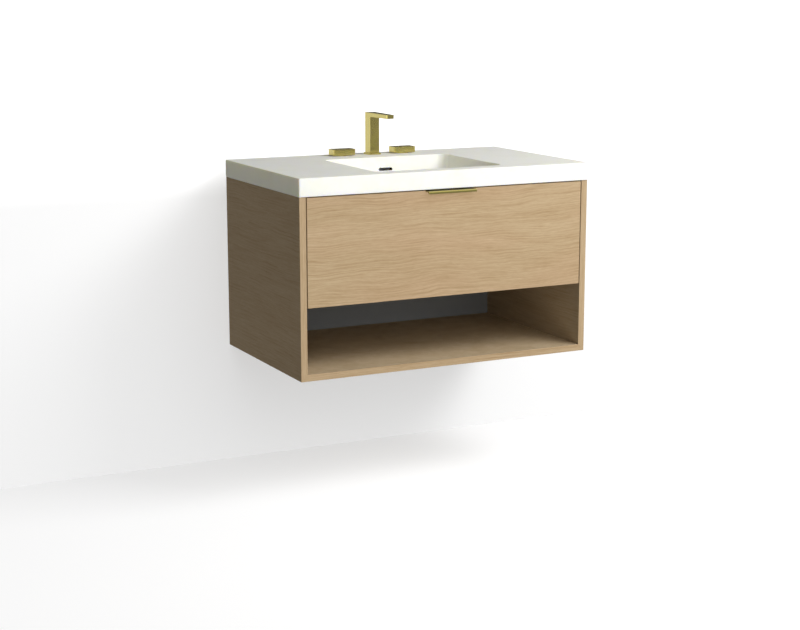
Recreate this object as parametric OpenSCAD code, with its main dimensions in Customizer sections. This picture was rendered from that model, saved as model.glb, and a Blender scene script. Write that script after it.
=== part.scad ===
// Wall-hung bathroom vanity: an open shelf under one full-width drawer on ball-bearing
// runners, a cast top with its own basin, and a widespread tap with two lever blocks.
// +X is right, +Z is up, the wall is the plane y = 0 and the front looks along -Y.
// The origin is the middle of the four wall fixing holes, in the wall plane. Sizes in mm.

/* [Cabinet] */
// Depth of the cabinet, from the wall to the front edges of the sides
cab_d = 546.5; // [520:0.5:600]
// Height of the cabinet under the top
cab_h = 507.8; // [480:0.1:560]
// Thickness of the sides, the bottom and the divider
panel_t = 19; // [16:0.5:22]
// Clear height of the open shelf, from its floor to the drawer front
shelf_clear = 184.3; // [160:0.1:205]
// Gap round the drawer front
reveal = 3; // [2:0.5:4]
// Gap between the back of the drawer front and the divider behind it
front_gap = 2; // [1.5:0.5:4]
// Thickness of the shelf's back panel
back_t = 3; // [3:0.5:6]
// How far the back panel reaches into its rebates
back_lap = 9; // [6:0.5:11]
// Thickness of the two rear rails
rail_t = 19; // [16:0.5:22]
// Height of the hanging rail
hang_rail_h = 100; // [80:1:120]
// Height of the lower rear rail
low_rail_h = 80; // [60:1:100]
// Thickness of the front rail
front_rail_t = 16; // [12:0.5:18]
// Height of the front rail
front_rail_h = 50; // [40:1:60]
// Leg of the triangular corner blocks
block_leg = 60; // [40:1:80]
// Height of the corner blocks
block_h = 22; // [15:1:30]

/* [Wall fixing] */
// Distance between the two columns of wall fixing holes
fix_cols = 406.4; // [300:0.1:500]
// Diameter of a wall fixing hole
fix_hole_d = 7; // [5:0.5:9]
// Diameter of the countersink round it
fix_sink_d = 15; // [12:0.5:18]

/* [Joinery] */
// Diameter of a cam lock
cam_d = 15; // [12:0.5:18]
// Depth of a cam lock's bore
cam_h = 12.5; // [10:0.5:14]
// Distance from a member's end to the middle of its cam
cam_reach = 34; // [24:1:40]
// Diameter of a cam post's shaft
post_d = 5; // [4:0.5:6]
// Diameter of a cam post's head
post_head_d = 7; // [6:0.5:8]
// How far posts and dowels enter a side panel
side_bite = 12; // [9:0.5:13]
// Diameter of a wooden dowel
dowel_d = 8; // [6:0.5:10]
// Length of a wooden dowel
dowel_len = 36; // [30:1:40]
// Width of a mitre spline
spline_w = 14; // [10:0.5:15]
// Thickness of a mitre spline
spline_t = 4; // [3:0.5:5]

/* [Top] */
// Width of the cast top
top_w = 914.4; // [860:0.1:1100]
// Height of the top's edge
top_t = 50.8; // [40:0.1:60]
// How far the top reaches past each side of the cabinet
side_overhang = 1.6; // [0:0.1:6]
// How far the top reaches past the front of the cabinet
front_overhang = 3; // [0:0.5:8]
// Thickness of the deck between the edges
deck_t = 15; // [12:0.5:20]
// Width of the solid edge along the front and the sides
edge_w = 30; // [28:0.5:34]

/* [Basin] */
// Width of the basin at its rim
basin_w = 406; // [340:1:480]
// Ledge between the front edge of the top and the basin
basin_front = 53.5; // [51:0.5:80]
// Ledge between the wall and the basin, which carries the tap
basin_back = 140; // [128:1:160]
// Depth of the basin at the foot of its walls
basin_depth = 115; // [95:1:125]
// Radius of the basin's upright corners
basin_corner_r = 28; // [15:1:45]
// Radius where the walls meet the floor
basin_floor_r = 26; // [15:1:40]
// Slope of the walls, in degrees
basin_draft = 5; // [2:0.5:8]
// Fall of the floor to the drain
basin_fall = 4; // [2:0.5:8]
// Thickness of the basin's walls and floor
wall_t = 12; // [9:0.5:13]
// Width of the overflow slot
slot_w = 45; // [30:1:60]
// Height of the overflow slot
slot_h = 9; // [6:0.5:12]
// Depth of the slot's middle line below the deck
slot_drop = 37; // [30:0.5:45]
// Wall thickness of the slot's black liner
liner_t = 1; // [0.8:0.1:1.5]
// Clear depth of the overflow passage behind and under the basin
passage_t = 10; // [8:0.5:12]
// Thickness of the duct round the overflow passage
skin_t = 6; // [5:0.5:9]

/* [Drain] */
// Distance from the basin's back rim to the middle of the drain
drain_back = 150; // [110:1:190]
// Diameter of the drain hole
drain_hole_d = 45; // [42:0.5:50]
// Outer diameter of the drain's threaded body
drain_body_d = 38; // [36:0.5:40]
// Diameter of the drain's flange
drain_flange_d = 62; // [56:0.5:68]
// Thickness of the drain's flange
drain_flange_t = 3; // [2:0.5:4]
// Outer diameter of the tailpiece
tail_d = 31.75; // [30:0.05:32]
// Length of the tailpiece below the drain's body
tail_len = 75; // [50:1:100]
// Travel of the stopper
stopper_lift = 8; // [6:0.5:10]

/* [Tap] */
// Distance between the middles of the two handles
tap_spread = 203.2; // [152:0.1:260]
// Distance from the wall to the middle of the spout and handles
tap_y = 50.5; // [47:0.5:54]
// Diameter of the spout's hole in the deck
tap_hole_d = 35; // [32:0.5:38]
// Diameter of a handle's hole in the deck
valve_hole_d = 29; // [28.5:0.5:30]
// Height of the spout over the deck
spout_h = 127; // [100:1:180]
// Width of the spout's column
col_w = 31; // [24:0.5:38]
// Depth of the spout's column
col_d = 35; // [28:0.5:40]
// Reach of the spout, from the middle of its column to its tip
spout_reach = 125.5; // [110:0.5:160]
// Height of the arm at the column
arm_t = 12.5; // [12:0.5:20]
// Height of the arm at its tip
tip_t = 11.5; // [10:0.5:16]
// Width of the arm at its tip
tip_w = 24; // [22:0.5:31]
// Chamfer of the tip's upright edges
tip_chamfer = 3; // [0.5:0.5:4]
// Margin of the spout's plate round the column
plate_margin = 4; // [2:0.5:8]
// Thickness of the spout's plate
plate_t = 5; // [3:0.5:8]
// Diameter of the aerator
aerator_d = 18; // [14:0.5:20]
// Length of a handle block
handle_w = 72.5; // [56:0.5:84]
// Depth of a handle block
handle_d = 40; // [32:0.5:46]
// Top of a handle block over the deck
handle_h = 20; // [16:0.5:30]
// Radius of a handle block's upright edges
handle_r = 4; // [1:0.5:8]
// Thickness of the plate under a handle
handle_plate_t = 2; // [1.5:0.5:4]
// Diameter of a valve's shank
shank_d = 26.4; // [24:0.1:28]
// Diameter of a valve's body
valve_d = 36; // [32:0.5:38]
// Diameter of a supply inlet
inlet_d = 20.9; // [18:0.1:24]
// Length of a supply inlet
inlet_len = 40; // [25:1:50]
// Diameter of the tubes between the valves and the tee
tube_d = 10; // [8:0.5:12]

/* [Drawer] */
// Thickness of the drawer front
front_t = 19; // [16:0.5:20]
// Length of the drawer box
box_len = 450; // [400:10:460]
// Thickness of the drawer box's sides
box_t = 15; // [12:0.5:16]
// Space between the drawer box and the divider
box_lift = 14.7; // [10:0.1:20]
// Space between the drawer box and the underside of the basin
basin_gap = 21; // [18:0.5:40]
// Thickness of the drawer's bottom
bottom_t = 6; // [5:0.5:9]
// Height of the bottom's groove over the lower edge
groove_z = 12; // [8:0.5:16]
// Depth of the bottom's groove
groove_d = 6; // [4:0.5:8]
// Width of the well that clears the drain
well_w = 240; // [180:1:300]
// Room in front of the drain in the well
well_room = 75; // [60:1:100]
// Dovetails at each corner
tail_count = 4; // [3:1:6]
// Slope of a dovetail, as run over rise
tail_slope = 6; // [5:0.5:8]

/* [Pull] */
// Length of the edge pull
pull_w = 150.5; // [100:0.5:250]
// How far the pull stands out from the drawer front
pull_out = 23; // [18:0.5:30]
// Height of the pull's nose
pull_h = 8; // [6.5:0.5:12]
// Thickness of the pull's plate
pull_t = 3; // [2:0.5:4]
// Thickness of the nose at its lower edge
nose_t = 5; // [3:0.5:7]

/* [Runners] */
// Thickness of a closed runner
slide_t = 12.7; // [12.5:0.1:14]
// Height of a runner
slide_h = 45.7; // [42:0.1:50]
// Height of a runner's middle over the drawer box's lower edge
slide_z = 55; // [45:1:75]
// Length of the travel
travel = 440; // [380:10:440]
// Radius of a bearing ball
ball_r = 1.75; // [1.6:0.05:1.9]
// Distance between balls in a row
ball_pitch = 20; // [12:1:30]
// Length of a ball cage
cage_len = 200; // [160:10:200]

/* [Hidden] */
$fn = 64;
fit = 0.1; // glued or screwed pieces in their bores
play = 0.3; // pieces that move past each other
eps = 0.01; // thickness of a section in a hull
over = 1; // how far a cut reaches past a face

// Heights over the underside of the cabinet
h_front = panel_t + shelf_clear;
h_divider = h_front + reveal;
h_low_rail = h_divider + panel_t;
h_fix_low = h_low_rail + low_rail_h / 2;
h_fix_high = cab_h - hang_rail_h / 2;

// Levels: the origin is midway between the two rows of wall fixings
fix_rows = h_fix_high - h_fix_low;
z_under = -(h_fix_low + h_fix_high) / 2;
z_shelf = z_under + panel_t;
z_front = z_under + h_front;
z_divider = z_under + h_divider;
z_low_rail = z_under + h_low_rail;
z_cab = z_under + cab_h;
z_deck = z_cab + top_t;

// Plan
cab_w = top_w - 2 * side_overhang;
top_d = cab_d + front_overhang;
x_out = cab_w / 2;
x_in = x_out - panel_t;
y_front = -cab_d;
y_front_in = y_front + front_t;
y_inner = y_front_in + front_gap;

// Basin
y_rim_front = -(top_d - basin_front);
y_rim_back = -basin_back;
y_basin = (y_rim_front + y_rim_back) / 2;
basin_d = y_rim_back - y_rim_front;
y_drain = y_rim_back - drain_back;
z_floor = z_deck - basin_depth - basin_fall;
z_bowl_under = z_floor - wall_t;
z_keel = z_bowl_under - passage_t - skin_t;
z_slot = z_deck - slot_drop;
y_passage = y_rim_back + wall_t;
passage_w = slot_w;
z_duct_top = z_slot + slot_h + skin_t;

// Drain stack
gasket_t = 4;
drain_nut_t = 10;
z_gasket = z_keel - gasket_t;
z_drain_nut = z_gasket - drain_nut_t;
z_drain_end = z_drain_nut - 20;
tail_bite = 15;
tail_thread_d = tail_d + 1.6;
tail_wall = 1.5;
stopper_t = 5;
stopper_pin_d = 8;
guide_t = 3;

// Tap
z_deck_in = z_deck - deck_t;
washer_t = 3;
tap_nut_t = 8;
z_tap_nut = z_deck_in - washer_t - tap_nut_t;
z_tube = z_tap_nut - 22;
valve_h = 30;
stub_x = tap_spread / 2 - valve_d / 2 - 8;
tee_d = 28;
tee_x = tee_d / 2 + 8;
tube_nut_af = 17;
tube_nut_t = 12;
tube_wall = 1;
branch_d = 16;
stem_d = 8;
stem_bite = 10;
spout_shank_d = 22;
spout_bore_d = 10;
spout_bite = 12;
inlet_bore_d = 13;
y_tip = -(tap_y + spout_reach);
y_outlet = y_tip + aerator_d / 2 + 4;
z_spout = z_deck + spout_h;

// Drawer box
x_box = x_in - slide_t;
y_box = y_front_in;
y_box_back = y_box + box_len;
z_box = z_low_rail + box_lift;
z_box_top = z_bowl_under - basin_gap;
box_h = z_box_top - z_box;
z_bottom = z_box + groove_z;
y_well = y_drain - well_room;
x_well = well_w / 2;
tail_pitch = box_h / tail_count;
tail_w = 0.62 * tail_pitch;
z_front_top = z_cab - reveal;

// Runner section: u runs from the cabinet side to the drawer, w up from the middle
web_t = 1.3;
mid_t = 1.8;
cage_t = 0.6;
strip_t = 0.8;
ball_space = 3;
u_cage1 = web_t + play;
u_mid = u_cage1 + cage_t + play;
u_cage2 = u_mid + web_t + play;
u_drawer = u_cage2 + cage_t + play;
u_tip = slide_t - web_t - 0.8;
u_ball = u_tip - ball_r - 0.85;
w_cab = slide_h / 2;
w_cab_in = w_cab - web_t;
w_ball1 = w_cab_in - ball_space / 2;
w_mid = w_cab_in - ball_space;
w_mid_in = w_mid - mid_t;
w_ball2 = w_mid_in - ball_space / 2;
w_drawer = w_mid_in - ball_space;
z_slide = z_box + slide_z;
y_slide = y_inner;
slide_len = box_len;
cage1_y = y_slide + travel / 4 + 10;
cage2_y = y_slide + 3 * travel / 4 - 5 - cage_len;
slide_screw_d = 3.6;
slide_screw_len = 13;
slide_screw_y = [for (share = [0.08, 0.36, 0.64, 0.92]) y_slide + share * slide_len];

// Joints of the rails and the divider with the sides: [y, z, tilt, thickness].
// The tilt turns the cam's open face: 0 up, 90 to the front, -90 to the wall.
joint_inset = 45;
y_front_rail = y_inner + front_rail_t / 2;
cam_joints = [
    [y_inner + joint_inset, z_divider + panel_t / 2, 0, panel_t],
    [-back_t - joint_inset, z_divider + panel_t / 2, 0, panel_t],
    [-rail_t / 2, h_fix_high + z_under + hang_rail_h / 4, 90, rail_t],
    [-rail_t / 2, h_fix_high + z_under - hang_rail_h / 4, 90, rail_t],
    [-rail_t / 2, z_low_rail + low_rail_h / 3, 90, rail_t],
    [y_front_rail, z_cab - front_rail_h / 3, -90, front_rail_t],
];
dowel_joints = [
    [y_inner + 2 * joint_inset, z_divider + panel_t / 2],
    [(y_inner - back_t) / 2, z_divider + panel_t / 2],
    [-back_t - 2 * joint_inset, z_divider + panel_t / 2],
    [-rail_t / 2, h_fix_high + z_under],
    [-rail_t / 2, z_low_rail + 2 * low_rail_h / 3],
    [y_front_rail, z_cab - 2 * front_rail_h / 3],
];

// Screws that hold the drawer front to the box, and the pull to the front
front_screw_x = [for (share = [-0.8, 0, 0.8]) share * x_box];
front_screw_z = [z_box + 0.25 * box_h, z_box + 0.75 * box_h];
front_screw_d = 4;
front_screw_len = box_t + 0.6 * front_t;
pull_screw_x = 0.36 * pull_w;
pull_screw_d = 3.5;
pull_sink_d = 7;
pull_screw_len = 22;

// Colours
oak = [0.73, 0.63, 0.49];
birch = [0.86, 0.77, 0.62];
cast_white = [0.96, 0.96, 0.95];
brass = [0.72, 0.66, 0.42];
raw_brass = [0.71, 0.58, 0.33];
steel = [0.72, 0.73, 0.75];
zinc = [0.6, 0.61, 0.63];
grey_board = [0.78, 0.8, 0.84];
black = [0.05, 0.05, 0.05];
rubber = [0.14, 0.14, 0.14];
clear_pad = [0.85, 0.87, 0.88];

// ---- Shapes used by several pieces ------------------------------------------------

// A box given by its lowest and highest corners
module block(low, high) translate(low) cube(high - low);

// An outline in x and z, extruded from y0 to y1
module along_y(y0, y1) translate([0, y1, 0]) rotate([90, 0, 0]) linear_extrude(y1 - y0) children();

// An outline in y and z, extruded from x0 to x1
module along_x(x0, x1) translate([x0, 0, 0]) rotate([90, 0, 90]) linear_extrude(x1 - x0) children();

// The children on the right and their mirror image on the left
module both_sides() {
    children();
    mirror([1, 0, 0]) children();
}

// The children as drawn for side 1, or their mirror image for side -1
module on_side(side) {
    if (side > 0) children();
    else mirror([1, 0, 0]) children();
}

// A rod along X from x0 to x1
module rod_x(x0, x1, d) translate([x0, 0, 0]) rotate([0, 90, 0]) cylinder(h = x1 - x0, d = d);

// A rectangle with round corners, centred
module round_rect(w, d, r) {
    square([w - 2 * r, d], center = true);
    square([w, d - 2 * r], center = true);
    for (x = [-1, 1], y = [-1, 1])
        translate([x * (w / 2 - r), y * (d / 2 - r)]) circle(r);
}

// A slot with round ends, centred
module slot(w, h) {
    square([w - h, h], center = true);
    for (x = [-1, 1]) translate([x * (w - h) / 2, 0]) circle(d = h);
}

// A flat ring
module ring(outer_d, inner_d, h) difference() {
    cylinder(h = h, d = outer_d);
    translate([0, 0, -over]) cylinder(h = h + 2 * over, d = inner_d);
}

// A hexagonal nut of this width over its flats
module hex_nut(af, bore_d, h) difference() {
    cylinder(h = h, r = af / sqrt(3), $fn = 6);
    translate([0, 0, -over]) cylinder(h = h + 2 * over, d = bore_d);
}

// ---- Carcass ----------------------------------------------------------------------

// The bores for posts, dowels and cams in the sides, the rails and the divider
module joint_bores() both_sides() {
    for (j = cam_joints) translate([0, j[0], j[1]]) {
        rod_x(x_in - cam_reach, x_in + side_bite + fit, post_head_d + 2 * fit);
        translate([x_in - cam_reach, 0, 0]) rotate([j[2], 0, 0])
            translate([0, 0, j[3] / 2 - cam_h - fit]) cylinder(h = cam_h + over, d = cam_d + 2 * fit);
    }
    for (j = dowel_joints) translate([0, j[0], j[1]])
        rod_x(x_in + side_bite - dowel_len - fit, x_in + side_bite + fit, dowel_d + 2 * fit);
}

// The two splines across the mitres, grown by a gap for their grooves
module splines(gap) {
    spline_at = 0.6 * panel_t;
    stop = 60;
    both_sides() translate([x_out - spline_at, -cab_d / 2, z_under + spline_at])
        rotate([0, -45, 0])
        cube([spline_w + 2 * gap, cab_d - 2 * stop + 2 * gap, spline_t + 2 * gap], center = true);
}

// The back panel, grown by a gap for its rebates
module back_board(gap) block(
    [-(x_in + back_lap + gap), -back_t - gap, z_shelf - back_lap - gap],
    [x_in + back_lap + gap, gap > 0 ? over : 0, z_divider + back_lap + gap]);

// The four holes for wall screws, with countersinks on the room side
module wall_holes() for (x = [-1, 1], z = [h_fix_low, h_fix_high])
    translate([x * fix_cols / 2, 0, z_under + z]) rotate([90, 0, 0]) {
        translate([0, 0, -over]) cylinder(h = rail_t + 2 * over, d = fix_hole_d);
        sink_h = (fix_sink_d - fix_hole_d) / 2;
        translate([0, 0, rail_t - sink_h])
            cylinder(h = sink_h + eps, d1 = fix_hole_d, d2 = fix_sink_d + 2 * eps);
    }

module side_panel(side) color(oak) on_side(side) difference() {
    along_y(y_front, 0)
        polygon([[x_out, z_under], [x_out, z_cab], [x_in, z_cab], [x_in, z_shelf]]);
    back_board(fit);
    splines(fit);
    joint_bores();
    channel_screw_set(slide_screw_d + 2 * fit, slide_screw_len + fit);
}

module bottom_panel() color(oak) difference() {
    along_y(y_front, 0)
        polygon([[-x_out, z_under], [x_out, z_under], [x_in, z_shelf], [-x_in, z_shelf]]);
    back_board(fit);
    splines(fit);
}

module shelf_divider() color(oak) difference() {
    block([-x_in, y_inner, z_divider], [x_in, 0, z_divider + panel_t]);
    back_board(fit);
    joint_bores();
}

module back_panel() color(grey_board) back_board(0);

module hanging_rail() color(birch) difference() {
    block([-x_in, -rail_t, z_cab - hang_rail_h], [x_in, 0, z_cab]);
    wall_holes();
    joint_bores();
}

module lower_rail() color(birch) difference() {
    block([-x_in, -rail_t, z_low_rail], [x_in, 0, z_low_rail + low_rail_h]);
    wall_holes();
    joint_bores();
}

module front_rail() color(birch) difference() {
    block([-x_in, y_inner, z_cab - front_rail_h], [x_in, y_inner + front_rail_t, z_cab]);
    joint_bores();
}

// Triangular blocks glued into the four corners under the top
module corner_blocks() color(birch) both_sides() {
    for (corner = [[-rail_t, -1], [y_inner + front_rail_t, 1]])
        translate([x_in, corner[0], z_cab - block_h]) linear_extrude(block_h)
            polygon([[0, 0], [-block_leg, 0], [0, corner[1] * block_leg]]);
}

module mitre_splines() color(birch) splines(0);

module carcass_dowels() color(birch) both_sides() {
    for (j = dowel_joints) translate([0, j[0], j[1]])
        rod_x(x_in + side_bite - dowel_len, x_in + side_bite, dowel_d);
}

// A steel post: its shaft in the side, its head inside the cam
module cam_posts() color(zinc) both_sides() {
    head_l = 3;
    for (j = cam_joints) translate([x_in - cam_reach, j[0], j[1]]) {
        rod_x(0, head_l, post_head_d);
        rod_x(head_l, cam_reach - 1, post_d);
        rod_x(cam_reach - 1, cam_reach + side_bite, post_head_d);
    }
}

// A cam: a short drum with a pocket for the post's head and a cross slot in its face
module cam_locks() color(zinc) both_sides() {
    cross_w = 1.6;
    cross_l = 0.6 * cam_d;
    cross_h = 2.5;
    for (j = cam_joints) translate([x_in - cam_reach, j[0], j[1]]) rotate([j[2], 0, 0])
        difference() {
            translate([0, 0, j[3] / 2 - cam_h]) cylinder(h = cam_h, d = cam_d);
            rod_x(-fit, cam_d, post_head_d + 2 * fit);
            for (turn = [0, 90]) rotate([0, 0, turn])
                translate([0, 0, j[3] / 2]) cube([cross_l, cross_w, 2 * cross_h], center = true);
        }
}

// Soft pads that the drawer front closes against
module bumper_pads() color(clear_pad) both_sides() {
    pad_d = 8;
    pad_t = front_gap - play;
    for (at = [[0.9 * x_in, z_divider + panel_t / 2], [0.9 * x_in, z_cab - front_rail_h / 2]])
        translate([at[0], y_inner, at[1]]) rotate([90, 0, 0]) cylinder(h = pad_t, d = pad_d);
}

// ---- Cast top and basin -----------------------------------------------------------

// One level of the basin's form: the rim outline drawn in, grown, at a height
module basin_level(inset, grow, z) translate([0, y_basin, z]) linear_extrude(eps)
    offset(r = basin_corner_r + grow, $fn = 32)
        square([basin_w - 2 * (inset + basin_corner_r), basin_d - 2 * (inset + basin_corner_r)],
            center = true);

// The basin's form from a start height down: drafted walls, a blended foot and a floor
module basin_form(grow, z_start, depth, foot_r) {
    slope = tan(basin_draft);
    straight = depth - foot_r;
    hull() {
        basin_level((z_deck - z_start) * slope, grow, z_start);
        for (a = [0 : 18 : 90])
            basin_level(straight * slope + foot_r * (1 - cos(a)), grow,
                z_deck - straight - foot_r * sin(a));
        children();
    }
}

// The hollow: the form, with its floor falling to the drain
module basin_hollow() basin_form(0, z_deck + over, basin_depth, basin_floor_r)
    translate([0, y_drain, z_floor]) cylinder(h = eps, d = drain_flange_d, $fn = 32);

// The outside of the basin, which hangs below the deck
module basin_shell() basin_form(wall_t, z_deck - deck_t / 2,
    basin_depth + basin_fall + wall_t, basin_floor_r + wall_t);

// The outside of the overflow duct, from the drain back past the bowl and up
module duct_casing() {
    half = passage_w / 2 + skin_t;
    block([-half, y_drain, z_keel], [half, y_passage + passage_t + skin_t, z_duct_top]);
    translate([0, y_drain, z_keel]) cylinder(h = z_bowl_under - z_keel, d = drain_flange_d);
}

// Its hollow, which the bowl's own wall closes off
module duct_hollow() {
    half = passage_w / 2;
    block([-half, y_drain, z_keel + skin_t], [half, y_passage + passage_t, z_duct_top - skin_t]);
}

// The slot from the basin into the passage, grown by a gap
module overflow_slot(gap) along_y(y_rim_back - basin_floor_r, y_passage + passage_t / 2)
    translate([0, z_slot]) slot(slot_w + 2 * gap, slot_h + 2 * gap);

// The drain hole through the bowl and the duct
module drain_hole() translate([0, y_drain, z_keel - over])
    cylinder(h = z_floor + over - z_keel + basin_fall, d = drain_hole_d);

module vanity_top() color(cast_white) difference() {
    union() {
        difference() {
            block([-top_w / 2, -top_d, z_cab], [top_w / 2, 0, z_deck]);
            block([-top_w / 2 + edge_w, -top_d + edge_w, z_cab - over],
                [top_w / 2 - edge_w, -rail_t, z_deck_in]);
        }
        basin_shell();
    }
    basin_hollow();
    overflow_slot(0);
    drain_hole();
    translate([0, y_drain, z_floor - drain_flange_t])
        cylinder(h = drain_flange_t + over, d = drain_flange_d + 2 * fit);
    for (hole = [[-1, valve_hole_d], [0, tap_hole_d], [1, valve_hole_d]])
        translate([hole[0] * tap_spread / 2, -tap_y, z_deck_in - over])
        cylinder(h = deck_t + 2 * over, d = hole[1]);
}

// Cast duct, bonded to the bowl's back and underside, that leads the overflow to the drain
module overflow_duct() color(cast_white) difference() {
    duct_casing();
    basin_shell();
    duct_hollow();
    drain_hole();
}

// Black sleeve in the overflow slot, set back from the basin's wall
module overflow_liner() color(black) {
    y_mouth = y_rim_back - slot_drop * tan(basin_draft) + 1;
    difference() {
        along_y(y_mouth, y_passage) translate([0, z_slot]) slot(slot_w - 2 * fit, slot_h - 2 * fit);
        along_y(y_mouth - over, y_passage + over)
            translate([0, z_slot]) slot(slot_w - 2 * liner_t, slot_h - 2 * liner_t);
    }
}

// ---- Drain ------------------------------------------------------------------------

// Flange in the basin's floor, threaded body with overflow ports and a guide for the stopper
module drain_flange() color(brass) translate([0, y_drain, 0]) {
    bore_d = tail_thread_d + 2 * fit;
    port_d = 9;
    z_guide = z_bowl_under - passage_t / 2 - port_d;
    difference() {
        union() {
            translate([0, 0, z_floor - drain_flange_t]) cylinder(h = drain_flange_t, d = drain_flange_d);
            translate([0, 0, z_drain_end]) cylinder(h = z_floor - z_drain_end, d = drain_body_d);
        }
        translate([0, 0, z_drain_end - over]) cylinder(h = z_floor - z_drain_end + 2 * over, d = bore_d);
        for (turn = [0 : 60 : 120]) rotate([0, 0, turn + 30])
            translate([0, 0, z_bowl_under - passage_t / 2])
            rod_x(-drain_body_d, drain_body_d, port_d);
    }
    difference() {
        for (turn = [0, 90]) rotate([0, 0, turn]) translate([0, 0, z_guide])
            cube([bore_d + 1, 3, guide_t], center = true);
        translate([0, 0, z_guide - guide_t]) cylinder(h = 2 * guide_t, d = stopper_pin_d + 2 * play + 2);
    }
    translate([0, 0, z_guide - guide_t])
        ring(stopper_pin_d + 2 * play + 5, stopper_pin_d + 2 * play, 2 * guide_t);
}

// Push-up stopper: a slightly domed cap on a pin that runs in the drain's guide
module stopper() color(brass) translate([0, y_drain, z_floor + play]) {
    cap_d = tail_thread_d + 16;
    edge_h = 2;
    cylinder(h = edge_h, d = cap_d);
    translate([0, 0, edge_h]) cylinder(h = stopper_t - edge_h, d1 = cap_d, d2 = cap_d - 8);
    pin_top = z_floor + play;
    pin_end = z_bowl_under - passage_t / 2 - 24;
    translate([0, 0, pin_end - pin_top]) cylinder(h = pin_top - pin_end + edge_h, d = stopper_pin_d);
}

module drain_gasket() color(rubber) translate([0, y_drain, z_gasket])
    ring(drain_flange_d - 2, drain_body_d + 2 * fit, gasket_t);

module drain_nut() color(raw_brass) translate([0, y_drain, z_drain_nut])
    hex_nut(drain_flange_d - 8, drain_body_d + 2 * fit, drain_nut_t);

// Plain tube that the trap's nut closes on, with a threaded end in the drain's body
module tailpiece() color(brass) translate([0, y_drain, z_drain_end]) difference() {
    union() {
        translate([0, 0, -tail_len]) cylinder(h = tail_len, d = tail_d);
        cylinder(h = tail_bite, d = tail_thread_d);
    }
    translate([0, 0, -tail_len - over])
        cylinder(h = tail_len + tail_bite + 2 * over, d = tail_d - 2 * tail_wall);
}

// ---- Tap --------------------------------------------------------------------------

// Square column and an arm that tapers in height and width to its tip
module spout() color(brass) {
    y_back = -tap_y + col_d / 2;
    y_face = -tap_y - col_d / 2;
    z_foot = z_deck + plate_t;
    difference() {
        intersection() {
            along_x(-col_w / 2, col_w / 2) polygon([
                [y_back, z_foot], [y_face, z_foot], [y_face, z_spout - arm_t],
                [y_tip, z_spout - tip_t], [y_tip, z_spout], [y_back, z_spout]]);
            linear_extrude(z_spout + over) polygon([
                [-col_w / 2, y_back], [-col_w / 2, y_face],
                [-tip_w / 2, y_tip + tip_chamfer], [-tip_w / 2 + tip_chamfer, y_tip],
                [tip_w / 2 - tip_chamfer, y_tip], [tip_w / 2, y_tip + tip_chamfer],
                [col_w / 2, y_face], [col_w / 2, y_back]]);
        }
        translate([0, y_outlet, z_spout - arm_t - over])
            cylinder(h = arm_t - tip_t / 2 + over, d = aerator_d + 2 * fit);
        translate([0, -tap_y, z_foot - over])
            cylinder(h = spout_bite + over, d = spout_shank_d + 2 * fit);
    }
}

// The spout's plate and the two plates that the handles turn on
module tap_plates() color(brass) {
    difference() {
        translate([0, -tap_y, z_deck]) linear_extrude(plate_t)
            round_rect(col_w + 2 * plate_margin, col_d + 2 * plate_margin, 1.5);
        translate([0, -tap_y, z_deck - over]) cylinder(h = plate_t + 2 * over, d = spout_shank_d + 2 * fit);
    }
    both_sides() translate([tap_spread / 2, -tap_y, z_deck]) difference() {
        linear_extrude(handle_plate_t) circle(d = min(handle_d, handle_w) - 1);
        translate([0, 0, -over]) cylinder(h = handle_plate_t + 2 * over, d = stem_d + 2 * play);
    }
}

// Round insert in the underside of the arm's tip
module aerator() color(steel) {
    depth = 4;
    slope = (arm_t - tip_t) / (spout_reach - col_d / 2);
    z_face = z_spout - tip_t - slope * (y_outlet - aerator_d / 2 - y_tip) - 0.5;
    translate([0, y_outlet, z_face]) difference() {
        cylinder(h = depth, d = aerator_d);
        for (ring_r = [2, 5]) for (turn = [0 : 360 / (2 * ring_r) : 359])
            rotate([0, 0, turn]) translate([ring_r, 0, -over]) cylinder(h = 2 + over, d = 1.4, $fn = 16);
    }
}

module spout_shank() color(raw_brass) translate([0, -tap_y, z_tube + tee_d / 2])
    ring(spout_shank_d, spout_bore_d, z_deck + plate_t + spout_bite - z_tube - tee_d / 2);

// Washer and nut under the deck on the spout's shank and on each valve
module tap_nuts() color(raw_brass) {
    for (at = [[-tap_spread / 2, shank_d], [0, spout_shank_d], [tap_spread / 2, shank_d]])
        translate([at[0], -tap_y, z_tap_nut]) {
            hex_nut(tap_hole_d + 1, at[1] + 2 * fit, tap_nut_t);
            translate([0, 0, tap_nut_t]) ring(tap_hole_d + 7, at[1] + 2 * fit, washer_t);
        }
}

// Tee under the spout that joins hot and cold
module supply_tee() color(raw_brass) translate([0, -tap_y, z_tube]) difference() {
    union() {
        translate([0, 0, -tee_d / 2]) cylinder(h = tee_d, d = tee_d);
        rod_x(-tee_x, tee_x, branch_d);
    }
    rod_x(-tee_x - over, tee_x + over, tube_d - 2 * tube_wall);
    cylinder(h = tee_d, d = spout_bore_d);
}

module cross_tubes() color(steel) both_sides() translate([0, -tap_y, z_tube]) difference() {
    rod_x(tee_x, stub_x, tube_d);
    rod_x(tee_x - over, stub_x + over, tube_d - 2 * tube_wall);
}

module tube_nuts() color(raw_brass) both_sides() translate([0, -tap_y, z_tube])
    for (x = [tee_x, stub_x - tube_nut_t]) translate([x, 0, 0]) rotate([0, 90, 0])
        hex_nut(tube_nut_af, tube_d + 2 * fit, tube_nut_t);

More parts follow.
